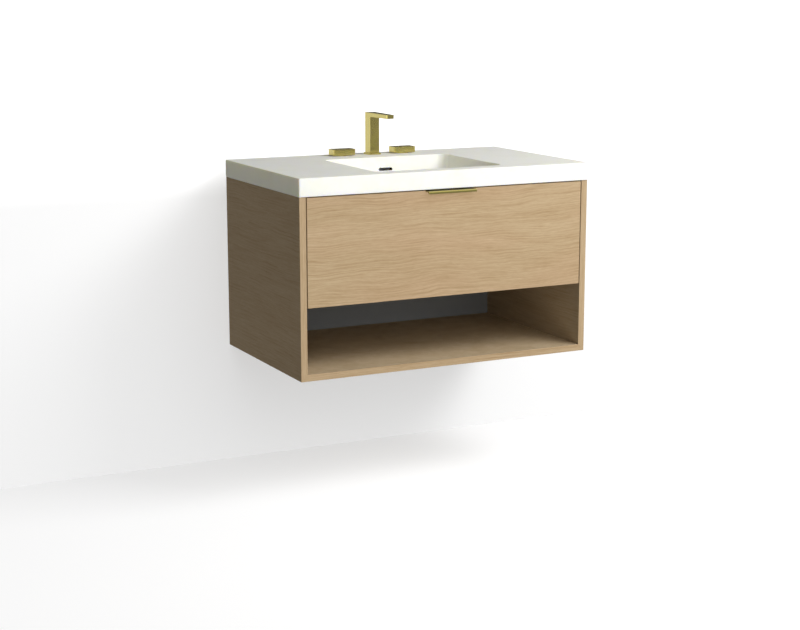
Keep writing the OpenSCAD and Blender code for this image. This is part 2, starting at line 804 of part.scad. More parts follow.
// Valve: shank through the deck, body below it, an outlet to the tee and an inlet below
module valve(side) color(raw_brass) on_side(side) translate([tap_spread / 2, -tap_y, 0]) difference() {
    z_body = z_tube - valve_h / 2;
    union() {
        translate([0, 0, z_body]) cylinder(h = z_deck - z_body, d = shank_d);
        translate([0, 0, z_body]) cylinder(h = valve_h, d = valve_d);
        translate([0, 0, z_body - inlet_len]) cylinder(h = inlet_len, d = inlet_d);
        translate([0, 0, z_tube]) rod_x(stub_x - tap_spread / 2, 0, branch_d);
    }
    translate([0, 0, z_tube]) rod_x(stub_x - tap_spread / 2 - over, 0, tube_d - 2 * tube_wall);
    translate([0, 0, z_body - inlet_len - over])
        cylinder(h = inlet_len + valve_h / 2, d = inlet_bore_d);
    translate([0, 0, z_tube + valve_h / 2]) cylinder(h = z_deck - z_tube, d = stem_d + 2 * play);
}

// Lever block with rounded upright edges and a socket for its stem
module handle(side) color(brass) {
    z_low = z_deck + handle_plate_t + play;
    translate([side * tap_spread / 2, -tap_y, z_low]) difference() {
        linear_extrude(z_deck + handle_h - z_low) round_rect(handle_w, handle_d, handle_r);
        translate([0, 0, -over]) cylinder(h = stem_bite + over, d = stem_d + 2 * fit);
    }
}

module stem(side) color(raw_brass) {
    z_low = z_tube + valve_h / 2 + play;
    translate([side * tap_spread / 2, -tap_y, z_low])
        cylinder(h = z_deck + handle_plate_t + play + stem_bite - z_low, d = stem_d);
}

// ---- Drawer -----------------------------------------------------------------------

// The pull's section in y and z, with y = 0 at the face of the drawer front and its top
// at z = 0: a flat plate, and a nose with a hollow behind it for the fingers
module pull_section() {
    hollow_r = pull_h - pull_t;
    difference() {
        union() {
            translate([-pull_out, -pull_t]) square([pull_out + front_t, pull_t]);
            translate([-pull_out, -pull_h]) square([nose_t + hollow_r, pull_h]);
        }
        translate([-pull_out + nose_t + hollow_r, -pull_h]) circle(hollow_r);
    }
}

module pull_screw_bores(d, sink_d) both_sides()
    translate([pull_screw_x, y_front + front_t / 2, z_front_top]) {
        translate([0, 0, -pull_screw_len]) cylinder(h = pull_screw_len, d = d);
        sink_h = (sink_d - d) / 2;
        translate([0, 0, -sink_h]) cylinder(h = sink_h, d1 = d, d2 = sink_d);
    }

module front_screw_shanks(d, length) for (x = front_screw_x, z = front_screw_z)
    translate([x, y_box + box_t, z]) rotate([90, 0, 0]) cylinder(h = length, d = d);

module drawer_front() color(oak) difference() {
    block([-x_in + reveal, y_front, z_front], [x_in - reveal, y_front_in, z_front_top]);
    block([-pull_w / 2 - fit, y_front - over, z_front_top - pull_t],
        [pull_w / 2 + fit, y_front_in + over, z_front_top + over]);
    pull_screw_bores(pull_screw_d + 2 * fit, pull_screw_d + 2 * fit);
    front_screw_shanks(front_screw_d + 2 * fit, front_screw_len + fit);
}

module edge_pull() color(brass) difference() {
    along_x(-pull_w / 2, pull_w / 2) translate([y_front, z_front_top]) pull_section();
    pull_screw_bores(pull_screw_d + 2 * fit, pull_sink_d + 2 * fit);
}

// Two countersunk screws in the pull and six round-headed ones in the box front
module drawer_screws() color(zinc) {
    pull_screw_bores(pull_screw_d, pull_sink_d);
    front_screw_shanks(front_screw_d, front_screw_len);
    for (x = front_screw_x, z = front_screw_z) translate([x, y_box + box_t, z])
        rotate([-90, 0, 0]) cylinder(h = 2.5, d1 = 8, d2 = 6);
}

// The dovetails of one end of a side, in y and z, from the end at y = 0
module tails_outline() for (i = [0 : tail_count - 1]) {
    mid = z_box + (i + 0.5) * tail_pitch;
    rise = box_t / tail_slope;
    polygon([[0, mid - tail_w / 2], [box_t, mid - tail_w / 2 + rise],
        [box_t, mid + tail_w / 2 - rise], [0, mid + tail_w / 2]]);
}

// The dovetails of the four corners as solids that cross the side's thickness
module corner_tails() both_sides() {
    along_x(x_box - box_t, x_box) translate([y_box, 0]) tails_outline();
    along_x(x_box - box_t, x_box) translate([y_box_back, 0]) mirror([1, 0]) tails_outline();
}

// The drawer's bottom, grown by a gap for its grooves, with the well cut out
module bottom_board(gap) difference() {
    reach = groove_d + gap;
    block([-x_box + box_t - reach, y_box + box_t - reach, z_bottom - gap],
        [x_box - box_t + reach, y_box_back - box_t + reach, z_bottom + bottom_t + gap]);
    block([-x_well - box_t + reach, y_well - box_t + reach, z_bottom - over],
        [x_well + box_t - reach, y_box_back + over, z_bottom + bottom_t + over]);
}

module box_side(side) color(birch) on_side(side) difference() {
    block([x_box - box_t, y_box, z_box], [x_box, y_box_back, z_box_top]);
    bottom_board(fit);
    drawer_screw_set(slide_screw_d + 2 * fit, slide_screw_len + fit);
    for (end = [y_box, y_box_back - box_t]) difference() {
        block([x_box - box_t - over, end, z_box - over], [x_box + over, end + box_t, z_box_top + over]);
        corner_tails();
    }
}

module box_front() color(birch) difference() {
    block([-x_box, y_box, z_box], [x_box, y_box + box_t, z_box_top]);
    bottom_board(fit);
    corner_tails();
    front_screw_shanks(front_screw_d + 2 * fit, front_screw_len);
}

module box_back(side) color(birch) on_side(side) difference() {
    block([x_well + box_t, y_box_back - box_t, z_box], [x_box, y_box_back, z_box_top]);
    bottom_board(fit);
    corner_tails();
}

// Walls of the well, a notch at the back of the drawer that clears the drain
module well_side(side) color(birch) on_side(side) difference() {
    block([x_well, y_well, z_box], [x_well + box_t, y_box_back, z_box_top]);
    bottom_board(fit);
}

module well_front() color(birch) difference() {
    block([-x_well - box_t, y_well - box_t, z_box], [x_well + box_t, y_well, z_box_top]);
    bottom_board(fit);
}

module box_bottom() color(birch) bottom_board(0);

// ---- Runners ----------------------------------------------------------------------
// Each section is drawn on the right: u = 0 is the face of the side panel.

// A channel of folded steel: a web from u0 to u1, flanges out to u2, grooves for the balls
module channel_section(u0, u1, u2, w_outer, flange_t, ball_rows) difference() {
    union() {
        translate([min(u0, u1), -w_outer]) square([abs(u1 - u0), 2 * w_outer]);
        for (side = [-1, 1]) translate([min(u0, u2), side * (w_outer - flange_t / 2) - flange_t / 2])
            square([abs(u2 - u0), flange_t]);
    }
    for (w = ball_rows, side = [-1, 1]) translate([u_ball, side * w]) circle(ball_r + play);
}

// The cabinet's runner frame: children drawn in u and w, extruded over a length
module runner(side, y0, length) on_side(side) along_y(y0, y0 + length)
    translate([x_in, z_slide]) mirror([1, 0]) children();

// Countersunk screws along a runner, from its web into the wood
module runner_screws(u_face, direction, d, length) both_sides()
    for (y = slide_screw_y) translate([x_in - u_face, y, z_slide]) rotate([0, direction * 90, 0]) {
        cylinder(h = length, d = d);
        cylinder(h = web_t, d1 = 2 * d - 0.4, d2 = d);
    }

module channel_screw_set(d, length) runner_screws(web_t, 1, d, length);
module drawer_screw_set(d, length) runner_screws(slide_t - web_t, -1, d, length);

module cabinet_channel(side) color(steel) difference() {
    runner(side, y_slide, slide_len)
        channel_section(0, web_t, u_tip, w_cab, web_t, [w_ball1]);
    channel_screw_set(slide_screw_d + 2 * fit, slide_screw_len);
}

module middle_channel(side) color(steel) runner(side, y_slide, slide_len)
    channel_section(u_mid, u_mid + web_t, u_tip, w_mid, mid_t, [w_ball1, w_ball2]);

module drawer_channel(side) color(steel) difference() {
    runner(side, y_slide, slide_len)
        channel_section(slide_t, slide_t - web_t, u_drawer, w_drawer, web_t, [w_ball2]);
    drawer_screw_set(slide_screw_d + 2 * fit, slide_screw_len);
}

module channel_screws() color(zinc) channel_screw_set(slide_screw_d, slide_screw_len);
module drawer_channel_screws() color(zinc) drawer_screw_set(slide_screw_d, slide_screw_len);

// A folded strip that keeps two rows of balls apart, with its balls
module ball_cage(side, y0, u_web, w_ball) color(steel) {
    strip_end = u_ball + ball_r + 0.4;
    count = floor((cage_len - ball_pitch) / ball_pitch) + 1;
    start = (cage_len - (count - 1) * ball_pitch) / 2;
    runner(side, y0, cage_len) {
        translate([u_web, -w_ball]) square([cage_t, 2 * w_ball]);
        for (row = [-1, 1]) translate([u_web, row * w_ball - strip_t / 2])
            square([strip_end - u_web, strip_t]);
    }
    on_side(side) for (row = [-1, 1], i = [0 : count - 1])
        translate([x_in - u_ball, y0 + start + i * ball_pitch, z_slide + row * w_ball])
            sphere(ball_r);
}

// ---- Nodes ------------------------------------------------------------------------

side_panel(-1);  // side_panel_left
side_panel(1);  // side_panel_right
bottom_panel();
shelf_divider();
back_panel();
hanging_rail();
lower_rail();
front_rail();
corner_blocks();
mitre_splines();
carcass_dowels();
cam_posts();
cam_locks();
bumper_pads();
vanity_top();
overflow_duct();
overflow_liner();
drain_flange();
drain_gasket();
drain_nut();
tailpiece();
stopper();
spout();
tap_plates();
aerator();
spout_shank();
tap_nuts();
supply_tee();
cross_tubes();
tube_nuts();
valve(-1);  // valve_left
valve(1);  // valve_right
handle(-1);  // handle_left
handle(1);  // handle_right
stem(-1);  // stem_left
stem(1);  // stem_right
drawer_front();
edge_pull();
drawer_screws();
box_front();
box_side(-1);  // box_side_left
box_side(1);  // box_side_right
box_back(-1);  // box_back_left
box_back(1);  // box_back_right
well_side(-1);  // well_side_left
well_side(1);  // well_side_right
well_front();
box_bottom();
cabinet_channel(-1);  // cabinet_channel_left
cabinet_channel(1);  // cabinet_channel_right
channel_screws();
middle_channel(-1);  // middle_channel_left
middle_channel(1);  // middle_channel_right
drawer_channel(-1);  // drawer_channel_left
drawer_channel(1);  // drawer_channel_right
drawer_channel_screws();
ball_cage(-1, cage1_y, u_cage1, w_ball1);  // outer_cage_left
ball_cage(1, cage1_y, u_cage1, w_ball1);  // outer_cage_right
ball_cage(-1, cage2_y, u_cage2, w_ball2);  // inner_cage_left
ball_cage(1, cage2_y, u_cage2, w_ball2);  // inner_cage_right
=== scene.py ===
"""Looks of a wall-hung bathroom vanity: oak veneer, a cast white top and satin brass.

Everything is in metres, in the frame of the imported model: +X is right, +Z is up, the wall is the
plane y = 0 and the origin is the middle of the four wall fixing holes. A piece that stands for a
node keeps the node's place and size, and gets soft edges, threads, recesses and a finish here.
"""

import logging
import math
from dataclasses import astuple, dataclass, field
from enum import Enum
from typing import Callable, Iterator, Mapping, Optional, Sequence, Union

import bmesh
import bpy
from mathutils import Matrix, Vector


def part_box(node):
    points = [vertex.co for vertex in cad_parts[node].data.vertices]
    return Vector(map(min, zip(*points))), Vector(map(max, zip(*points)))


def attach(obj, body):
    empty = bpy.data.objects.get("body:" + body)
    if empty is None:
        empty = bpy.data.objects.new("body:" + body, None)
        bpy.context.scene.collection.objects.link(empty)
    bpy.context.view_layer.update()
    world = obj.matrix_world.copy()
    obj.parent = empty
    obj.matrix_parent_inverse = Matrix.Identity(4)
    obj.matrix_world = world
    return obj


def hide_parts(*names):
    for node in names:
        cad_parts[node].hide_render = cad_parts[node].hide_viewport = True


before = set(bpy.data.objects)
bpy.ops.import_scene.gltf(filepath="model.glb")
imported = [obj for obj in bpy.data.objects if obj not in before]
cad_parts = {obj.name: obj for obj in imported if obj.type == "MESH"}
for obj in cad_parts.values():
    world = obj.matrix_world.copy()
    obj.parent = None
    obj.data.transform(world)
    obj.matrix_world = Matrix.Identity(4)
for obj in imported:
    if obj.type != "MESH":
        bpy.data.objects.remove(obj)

LOG = logging.getLogger("vanity")
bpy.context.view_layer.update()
MM = 0.001
MERGE = 0.02 * MM
FLAT = math.radians(0.4)
SHARP = math.radians(28)
STEEP = math.radians(60)
ALIGNED = 0.9
SIDES = {"left": -1, "right": 1}
Colour = tuple[float, float, float, float]


# ---- Shader expressions


def srgb(*levels: int) -> Colour:
    """Turn red, green and blue as seen on a screen, from 0 to 255, into a linear colour."""
    shares = [level / 255 for level in levels]
    return (*(s / 12.92 if s <= 0.04045 else ((s + 0.055) / 1.055) ** 2.4 for s in shares), 1.0)


def _operator(operation: str, swapped: bool = False) -> Callable[..., "Signal"]:
    """Make a method of Signal that adds a Math node.

    Args:
        operation: The node's operation.
        swapped: Whether the signal is its second operand.

    Returns:
        The method.
    """

    def method(self: "Signal", other: "Operand" = 0.0) -> "Signal":
        """Join the signal and another operand."""
        left, right = (other, self) if swapped else (self, other)
        return self.graph.node("ShaderNodeMath", {"operation": operation}, {0: left, 1: right})

    return method


class Signal:
    """An output socket that takes part in Python expressions."""

    __add__ = _operator("ADD")
    __radd__ = _operator("ADD", swapped=True)
    __sub__ = _operator("SUBTRACT")
    __rsub__ = _operator("SUBTRACT", swapped=True)
    __mul__ = _operator("MULTIPLY")
    __pow__ = _operator("POWER")
    exponential = _operator("EXPONENT")
    sine = _operator("SINE")

    def __init__(self, graph: "Graph", socket: bpy.types.NodeSocket) -> None:
        """Hold a socket and the graph that its node is in."""
        self.graph = graph
        self.socket = socket

    def over(self, low: float, high: float) -> "Signal":
        """Ramp smoothly from 0 at the low value to 1 at the high one."""
        ends = {"Value": self, "From Min": low, "From Max": high}
        return self.graph.node("ShaderNodeMapRange", {"interpolation_type": "SMOOTHSTEP"}, ends)


Operand = Union[Signal, float]


class Graph:
    """Adds nodes to one node tree."""

    def __init__(self, tree: bpy.types.NodeTree) -> None:
        """Take over a tree and empty it."""
        self.tree = tree
        self.tree.nodes.clear()

    def node(
        self,
        kind: str,
        settings: Optional[Mapping[str, object]] = None,
        inputs: Optional[Mapping[Union[str, int], object]] = None,
        output: Union[str, int] = 0,
    ) -> Signal:
        """Add a node of any type.

        Args:
            kind: The node's type, such as ShaderNodeMath.
            settings: Properties that are set first.
            inputs: Values or signals by socket name or number.
            output: The output socket to return.

        Returns:
            The chosen output.
        """
        made = self.tree.nodes.new(kind)
        for name, value in (settings or {}).items():
            setattr(made, name, value)
        for name, value in (inputs or {}).items():
            if isinstance(value, Signal):
                self.tree.links.new(value.socket, made.inputs[name])
            else:
                made.inputs[name].default_value = value
        return Signal(self, made.outputs[output] if made.outputs else None)

    def mix(self, share: Operand, low: object, high: object) -> Signal:
        """Mix two colours, with this share of the second."""
        return self.node("ShaderNodeMix", {"data_type": "RGBA"}, {0: share, 6: low, 7: high}, 2)

    def join(self, x: Operand, y: Operand, z: Operand) -> Signal:
        """Join three values into a vector."""
        return self.node("ShaderNodeCombineXYZ", inputs={0: x, 1: y, 2: z})

    def split(self, vector: Signal) -> list[Signal]:
        """Take a vector apart into its three values."""
        made = self.node("ShaderNodeSeparateXYZ", inputs={0: vector}).socket.node
        return [Signal(self, socket) for socket in made.outputs]

    def combine(self, operation: str, left: object, right: object, output: str) -> Signal:
        """Join two vectors by an operation such as MULTIPLY or DOT_PRODUCT."""
        inputs = {0: left, 1: right}
        return self.node("ShaderNodeVectorMath", {"operation": operation}, inputs, output)

    def noise(
        self, place: Signal, scale: float, detail: float = 2.0, roughness: float = 0.5
    ) -> Signal:
        """Read smooth noise, from 0 to 1, at a place."""
        inputs = {"Vector": place, "Scale": scale, "Detail": detail, "Roughness": roughness}
        return self.node("ShaderNodeTexNoise", inputs=inputs)

    def place(self) -> Signal:
        """Read where a point is on its piece, in metres."""
        return self.node("ShaderNodeTexCoord", output="Object")

    def bump(self, height: Signal, depth: float) -> Signal:
        """Turn a height from 0 to 1 into a normal, 1 standing for a depth in metres."""
        inputs = {"Height": height, "Distance": depth, "Strength": 1.0}
        return self.node("ShaderNodeBump", inputs=inputs)

    def surface(self, **inputs: object) -> None:
        """End the tree in a Principled shader, underscores in names standing for spaces."""
        named = {name.replace("_", " "): value for name, value in inputs.items()}
        shader = self.node("ShaderNodeBsdfPrincipled", inputs=named)
        self.node("ShaderNodeOutputMaterial", inputs={"Surface": shader})


# ---- Finishes


@dataclass(frozen=True)
class Finish:
    """What a surface is made of."""

    name: str

    def make(self) -> bpy.types.Material:
        """Build the material.

        Returns:
            The material.
        """
        material = bpy.data.materials.new(self.name)
        material.use_nodes = True
        self.fill(Graph(material.node_tree))
        return material

    def fill(self, graph: Graph) -> None:
        """Add the nodes to the material's empty tree."""
        raise NotImplementedError


class Grain(Enum):
    """The axis that a board's grain runs along, as the order of along, across and depth."""

    ALONG_X = (0, 2, 1)
    ALONG_Y = (1, 2, 0)
    ALONG_Z = (2, 0, 1)


class Timber(Enum):
    """Colours of a timber: its ground, its ground where it is redder, and its streaks."""

    OAK = (srgb(199, 176, 143), srgb(199, 172, 140), srgb(165, 138, 101))
    OAK_EDGE = (srgb(196, 172, 139), srgb(196, 172, 139), srgb(162, 135, 99))
    # Painted shade: a darker copy of the oak for the outer faces of the sides, standing in for the
    # shade on them.
    OAK_PAINTED_SHADE = (srgb(182, 160, 128), srgb(182, 160, 128), srgb(158, 133, 98))
    # Painted shade: a darker, less red copy of the oak for the faces inside the cabinet, standing
    # in for how they look in shade.
    OAK_IN_SHADE = (srgb(187, 168, 139), srgb(187, 168, 139), srgb(162, 141, 109))
    BIRCH = (srgb(222, 203, 172), srgb(222, 203, 172), srgb(196, 170, 132))


@dataclass(frozen=True)
class Layer:
    """One layer of noise in a board, stretched along the grain."""

    along: float  # waves for each metre along the grain
    across: float  # waves for each metre across the grain
    into: float = 4.0  # waves for each metre into the board
    moved: bool = True  # whether the board's shift moves the layer into the board as well
    offset: float = 0.0  # a further move into the board
    detail: float = 2.0
    roughness: float = 0.5  # strength of each octave against the one before
    low: float = 0.3  # noise at which the layer begins to show
    high: float = 0.7  # noise at which it shows fully
    weight: float = 1.0  # its strength where it shows fully

    def read(self, shift: float, along: Signal, across: Signal, depth: Signal) -> Signal:
        """Read the noise.

        Args:
            shift: The board's shift.
            along: Place along the grain.
            across: Place across the grain.
            depth: Place in the board's depth.

        Returns:
            The noise, from 0 to 1.
        """
        into = depth * self.into + (shift * self.moved + self.offset)
        place = along.graph.join(along * self.along, across * self.across, into)
        return along.graph.noise(place, 1.0, self.detail, self.roughness)

    def show(self, noise: Signal) -> Signal:
        """Return how strongly the layer shows where it has this noise."""
        return noise.over(self.low, self.high) * self.weight


DRIFT = Layer(2.4, 4.0)
RIPPLE = Layer(9.5, 20.0, detail=1.0)
SPACING = Layer(0.9, 19.0)
FADE = Layer(7.0, 45.0, low=0.42, high=0.66, weight=0.3)
LONG_STREAKS = Layer(6.0, 330.0, roughness=0.6, weight=0.34)
SHORT_STREAKS = Layer(42.0, 500.0, 40.0, False, roughness=0.6, weight=0.24)
LINES = Layer(11.0, 900.0, 90.0, False, roughness=0.6, weight=0.16)
BROAD = Layer(1.4, 13.0, offset=7.0, detail=3.0, low=0.35, high=0.65, weight=0.12)
SPECKS = Layer(55.0, 1500.0, 300.0, False, detail=1.0, low=0.6, high=0.74)
TONE = Layer(2.2, 9.0, offset=3.0, detail=1.0, low=0.35, high=0.65)


@dataclass(frozen=True)
class Wood(Finish):
    """A veneered or solid board with growth rings, fine lines, pores and a slow change of tone."""

    grain: Grain
    timber: Timber
    shift: float = 0.0  # offset of the pattern, so that boards differ, in metres
    wave: float = 0.05  # how far the figure wanders across the grain, in metres
    ripple: float = 0.24  # share of that for its short waves
    rings: float = 90.0  # growth rings for each metre across the grain
    uneven: float = 30.0  # how far the rings' spacing changes, in radians
    contrast: float = 1.0  # strength of the rings and lines
    pores: float = 0.3
    # Where in the fine lines the pores begin and are full
    pore_lines: tuple[float, float] = (0.4, 0.62)
    pore_shade: float = 0.62  # colour of the pores as a share of the streaks' colour
    roughness: float = 0.55
    sheen: float = 0.04
    relief: float = 0.05 * MM  # depth of lines and pores, in metres

    def fill(self, graph: Graph) -> None:
        """Add the nodes.

        Args:
            graph: The material's empty tree.
        """
        axes = graph.split(graph.place())
        along, across, depth = (axes[index] for index in self.grain.value)
        along = along + self.shift
        straight = (self.shift, along, across, depth)
        drift = (DRIFT.read(*straight) - 0.5) * self.wave
        bent = across + drift + (RIPPLE.read(*straight) - 0.5) * (self.ripple * self.wave)
        curved = (self.shift, along, bent, depth)
        turns = bent * (math.tau * self.rings) + SPACING.read(*curved) * self.uneven
        lines = LINES.read(*curved)
        streak = (turns.sine() * 0.5 + 0.5) ** 2.0 * FADE.show(FADE.read(*curved))
        for layer in (LONG_STREAKS, SHORT_STREAKS):
            streak = streak + layer.show(layer.read(*curved))
        streak = streak + LINES.show(lines) + BROAD.show(BROAD.read(*curved))
        pore = SPECKS.show(SPECKS.read(*curved)) * lines.over(*self.pore_lines)
        pale, blush, deep = self.timber.value
        ground = graph.mix(TONE.show(TONE.read(*curved)), pale, blush)
        darker = tuple(self.pore_shade * channel for channel in deep[:3]) + (1.0,)
        graph.surface(
            Base_Color=graph.mix(
                pore * self.pores, graph.mix(streak * self.contrast, ground, deep), darker
            ),
            Roughness=self.roughness + lines * 0.1,
            Specular_IOR_Level=self.sheen,
            Normal=graph.bump(lines * 0.5 - pore, self.relief),
        )


@dataclass(frozen=True)
class CastStone(Finish):
    """Cast composite with a satin gel coat, slightly translucent and very faintly clouded."""

    colour: Colour = srgb(252, 251, 241)
    cloud: Colour = srgb(249, 248, 236)
    glow: float = 0.4  # share of the light that travels inside before it comes out
    # How far that light travels, in metres, the red share furthest
    reach: tuple[float, float, float] = (0.02, 0.017, 0.006)
    clouds: float = 9.0
    ripples: float = 120.0
    relief: float = 0.01 * MM  # depth of the ripples, in metres
    roughness: float = 0.42
    sheen: float = 0.08

    def fill(self, graph: Graph) -> None:
        """Add the nodes.

        Args:
            graph: The material's empty tree.
        """
        place = graph.place()
        clouds = graph.noise(place, self.clouds, 4.0, 0.6)
        graph.surface(
            Base_Color=graph.mix(clouds.over(0.4, 0.7), self.colour, self.cloud),
            Subsurface_Weight=self.glow,
            Subsurface_Radius=self.reach,
            Subsurface_Scale=1.0,
            Roughness=self.roughness + clouds * 0.1,
            Specular_IOR_Level=self.sheen,
            Normal=graph.bump(graph.noise(place, self.ripples), self.relief),
        )


BRUSHED_X = (40.0, 900.0, 900.0)
BRUSHED_Y = (700.0, 30.0, 700.0)
BRUSHED_Z = (900.0, 900.0, 40.0)


@dataclass(frozen=True)
class Metal(Finish):
    """A metal with fine brushing along an axis and soft tonal changes."""

    colour: Colour
    worn: Colour  # colour where it is handled
    roughness: float = 0.3
    # Scale of the brushing along X, Y and Z; small along the strokes
    brushing: tuple[float, float, float] = BRUSHED_Z
    depth: float = 0.004 * MM  # depth of the brushing, in metres
    haze: float = 45.0  # patches of handling for each metre
    wear: float = 0.6

    def fill(self, graph: Graph) -> None:
        """Add the nodes.

        Args:
            graph: The material's empty tree.
        """
        place = graph.place()
        stretched = graph.combine("MULTIPLY", place, self.brushing, "Vector")
        strokes = graph.noise(stretched, 1.0, 3.0, 0.6)
        haze = graph.noise(place, self.haze)
        graph.surface(
            Base_Color=graph.mix(haze.over(0.35, 0.75) * self.wear, self.colour, self.worn),
            Metallic=1.0,
            Roughness=self.roughness + (strokes - 0.5) * 0.12 + (haze - 0.5) * 0.06,
            Normal=graph.bump(strokes, self.depth),
        )


@dataclass(frozen=True)
class Moulding(Finish):
    """Plastic, rubber or laminate with a fine moulded grain."""

    colour: Colour
    fleck: Colour
    roughness: float = 0.6
    grit: float = 1500.0
    depth: float = 0.01 * MM  # depth of the grain, in metres
    blotches: float = 14.0
    sheen: float = 0.3

    def fill(self, graph: Graph) -> None:
        """Add the nodes.

        Args:
            graph: The material's empty tree.
        """
        place = graph.place()
        grain = graph.noise(place, self.grit)
        blotch = graph.noise(place, self.blotches, 3.0)
        graph.surface(
            Base_Color=graph.mix(grain * 0.5 + blotch * 0.5, self.colour, self.fleck),
            Roughness=self.roughness + (grain - 0.5) * 0.1,
            Specular_IOR_Level=self.sheen,
            Normal=graph.bump(grain, self.depth),
        )


class Palette:
    """Every finish of the vanity, made once."""

    def __init__(self) -> None:
        """Build the materials."""
        brass = ((0.63, 0.54, 0.18, 1.0), (0.67, 0.575, 0.205, 1.0))
        # Colours of the dark copy of the brass that is painted as shade on the pull.
        dark = ((0.2, 0.168, 0.054, 1.0), (0.22, 0.185, 0.062, 1.0))
        raw = (srgb(196, 158, 92), srgb(160, 122, 70))
        polish = 0.0005 * MM
        birch = {"wave": 0.03, "rings": 40.0, "contrast": 0.7, "pores": 0.15, "roughness": 0.4}
        slots = {
            "oak": [
                Wood("oak_front", Grain.ALONG_X, Timber.OAK, 0.31, wave=0.06),
                # oak_inside and oak_shelf use the painted-shade copy of the oak.
                Wood("oak_inside", Grain.ALONG_Y, Timber.OAK_IN_SHADE, 1.7, wave=0.02),
                Wood("oak_side", Grain.ALONG_Y, Timber.OAK_PAINTED_SHADE, 1.7, wave=0.03),
                Wood("oak_shelf", Grain.ALONG_X, Timber.OAK_IN_SHADE, 3.4, contrast=0.8),
                Wood("oak_band_x", Grain.ALONG_X, Timber.OAK_EDGE, 5.2, wave=0.01),
                Wood("oak_band_z", Grain.ALONG_Z, Timber.OAK_EDGE, 6.1, wave=0.01, contrast=0.85),
            ],
            "birch": [
                Wood("birch_x", Grain.ALONG_X, Timber.BIRCH, 0.6, **birch),
                Wood("birch_y", Grain.ALONG_Y, Timber.BIRCH, 1.9, **birch),
            ],
            "cast_white": [
                CastStone("cast_white"),
                # Painted warm shade for the top's two ends: a warmer copy of the white that
                # carries more light inside, so that the ends show warm in shade.
                CastStone(
                    "cast_end", srgb(253, 247, 224), srgb(250, 244, 219), 0.8, (0.012, 0.01, 0.004)
                ),
            ],
            "satin_brass": [
                Metal("satin_brass", *brass, 0.24),
                Metal("satin_brass_x", *brass, 0.26, BRUSHED_X),
                Metal("polished_brass", *brass, 0.06, BRUSHED_X, polish),
                # Painted shade: a dark copy of the brass for the pull's top and ends, standing in
                # for the shade on them.
                Metal("dark_brass", *dark, 0.12, BRUSHED_X, polish),
            ],
            "raw_brass": [Metal("raw_brass", *raw, 0.36, (300.0, 300.0, 900.0), 0.01 * MM)],
            "steel": [
                Metal("zinc_plate", srgb(196, 198, 202), srgb(168, 171, 178), 0.34, BRUSHED_Y)
            ],
            "zinc": [
                Metal("screw_zinc", srgb(178, 180, 186), srgb(140, 143, 150), 0.4, (500.0,) * 3)
            ],
            "grey_board": [
                # Partly the board's own grey and partly painted shade: its mid grey with a cool
                # tint is set so that it shows as the neutral dark shade at the back of the shelf,
                # against the warm light bounced off the oak.
                Moulding("grey_laminate", srgb(149, 154, 158), srgb(144, 149, 153), 0.85, 900.0)
            ],
            "black_plastic": [Moulding("black_plastic", srgb(16, 16, 17), srgb(24, 24, 25), 0.5)],
            "rubber": [Moulding("grey_rubber", srgb(48, 48, 50), srgb(62, 62, 64), 0.8)],
            "clear_pad": [Moulding("clear_pad", srgb(205, 210, 212), srgb(220, 224, 226), 0.3)],
        }
        pairs = [(slot, finish) for slot, group in slots.items() for finish in group]
        self.slot = {finish.name: slot for slot, finish in pairs}
        self.material = {finish.name: finish.make() for _, finish in pairs}


# ---- Mesh pieces


@dataclass(frozen=True)
class Ring:
    """A level rectangle with round corners."""

    x: float
    y: float
    half_x: float
    half_y: float
    corner: float
    z: float

    def corner_at(self, side_x: int, side_y: int) -> Vector:
        """Return the middle of one corner's arc."""
        x = self.x + side_x * (self.half_x - self.corner)
        return Vector((x, self.y + side_y * (self.half_y - self.corner), self.z))

    def towards(self, other: "Ring", share: float) -> "Ring":
        """Return the ring at a share of the way to another."""
        return Ring(*(a + share * (b - a) for a, b in zip(astuple(self), astuple(other))))


def link(name: str, data: bpy.types.ID) -> bpy.types.Object:
    """Put a mesh, a lamp or a camera into the scene.

    Args:
        name: Name of the object.
        data: What it shows.

    Returns:
        The object, at the origin.
    """
    made = bpy.data.objects.new(name, data)
    bpy.context.scene.collection.objects.link(made)
    return made


def use_up(name: str, mesh: bmesh.types.BMesh) -> bpy.types.Object:
    """Turn a mesh under construction into an object.

    Args:
        name: Name of the object.
        mesh: The mesh, which is freed.

    Returns:
        The object.
    """
    data = bpy.data.meshes.new(name)
    mesh.to_mesh(data)
    mesh.free()
    return link(name, data)


def runs_along(axis: int) -> Callable[[bmesh.types.BMEdge], bool]:
    """Return a test for edges that go further along an axis than any rounding does."""
    return lambda edge: abs(edge.verts[0].co[axis] - edge.verts[1].co[axis]) > 5 * MM


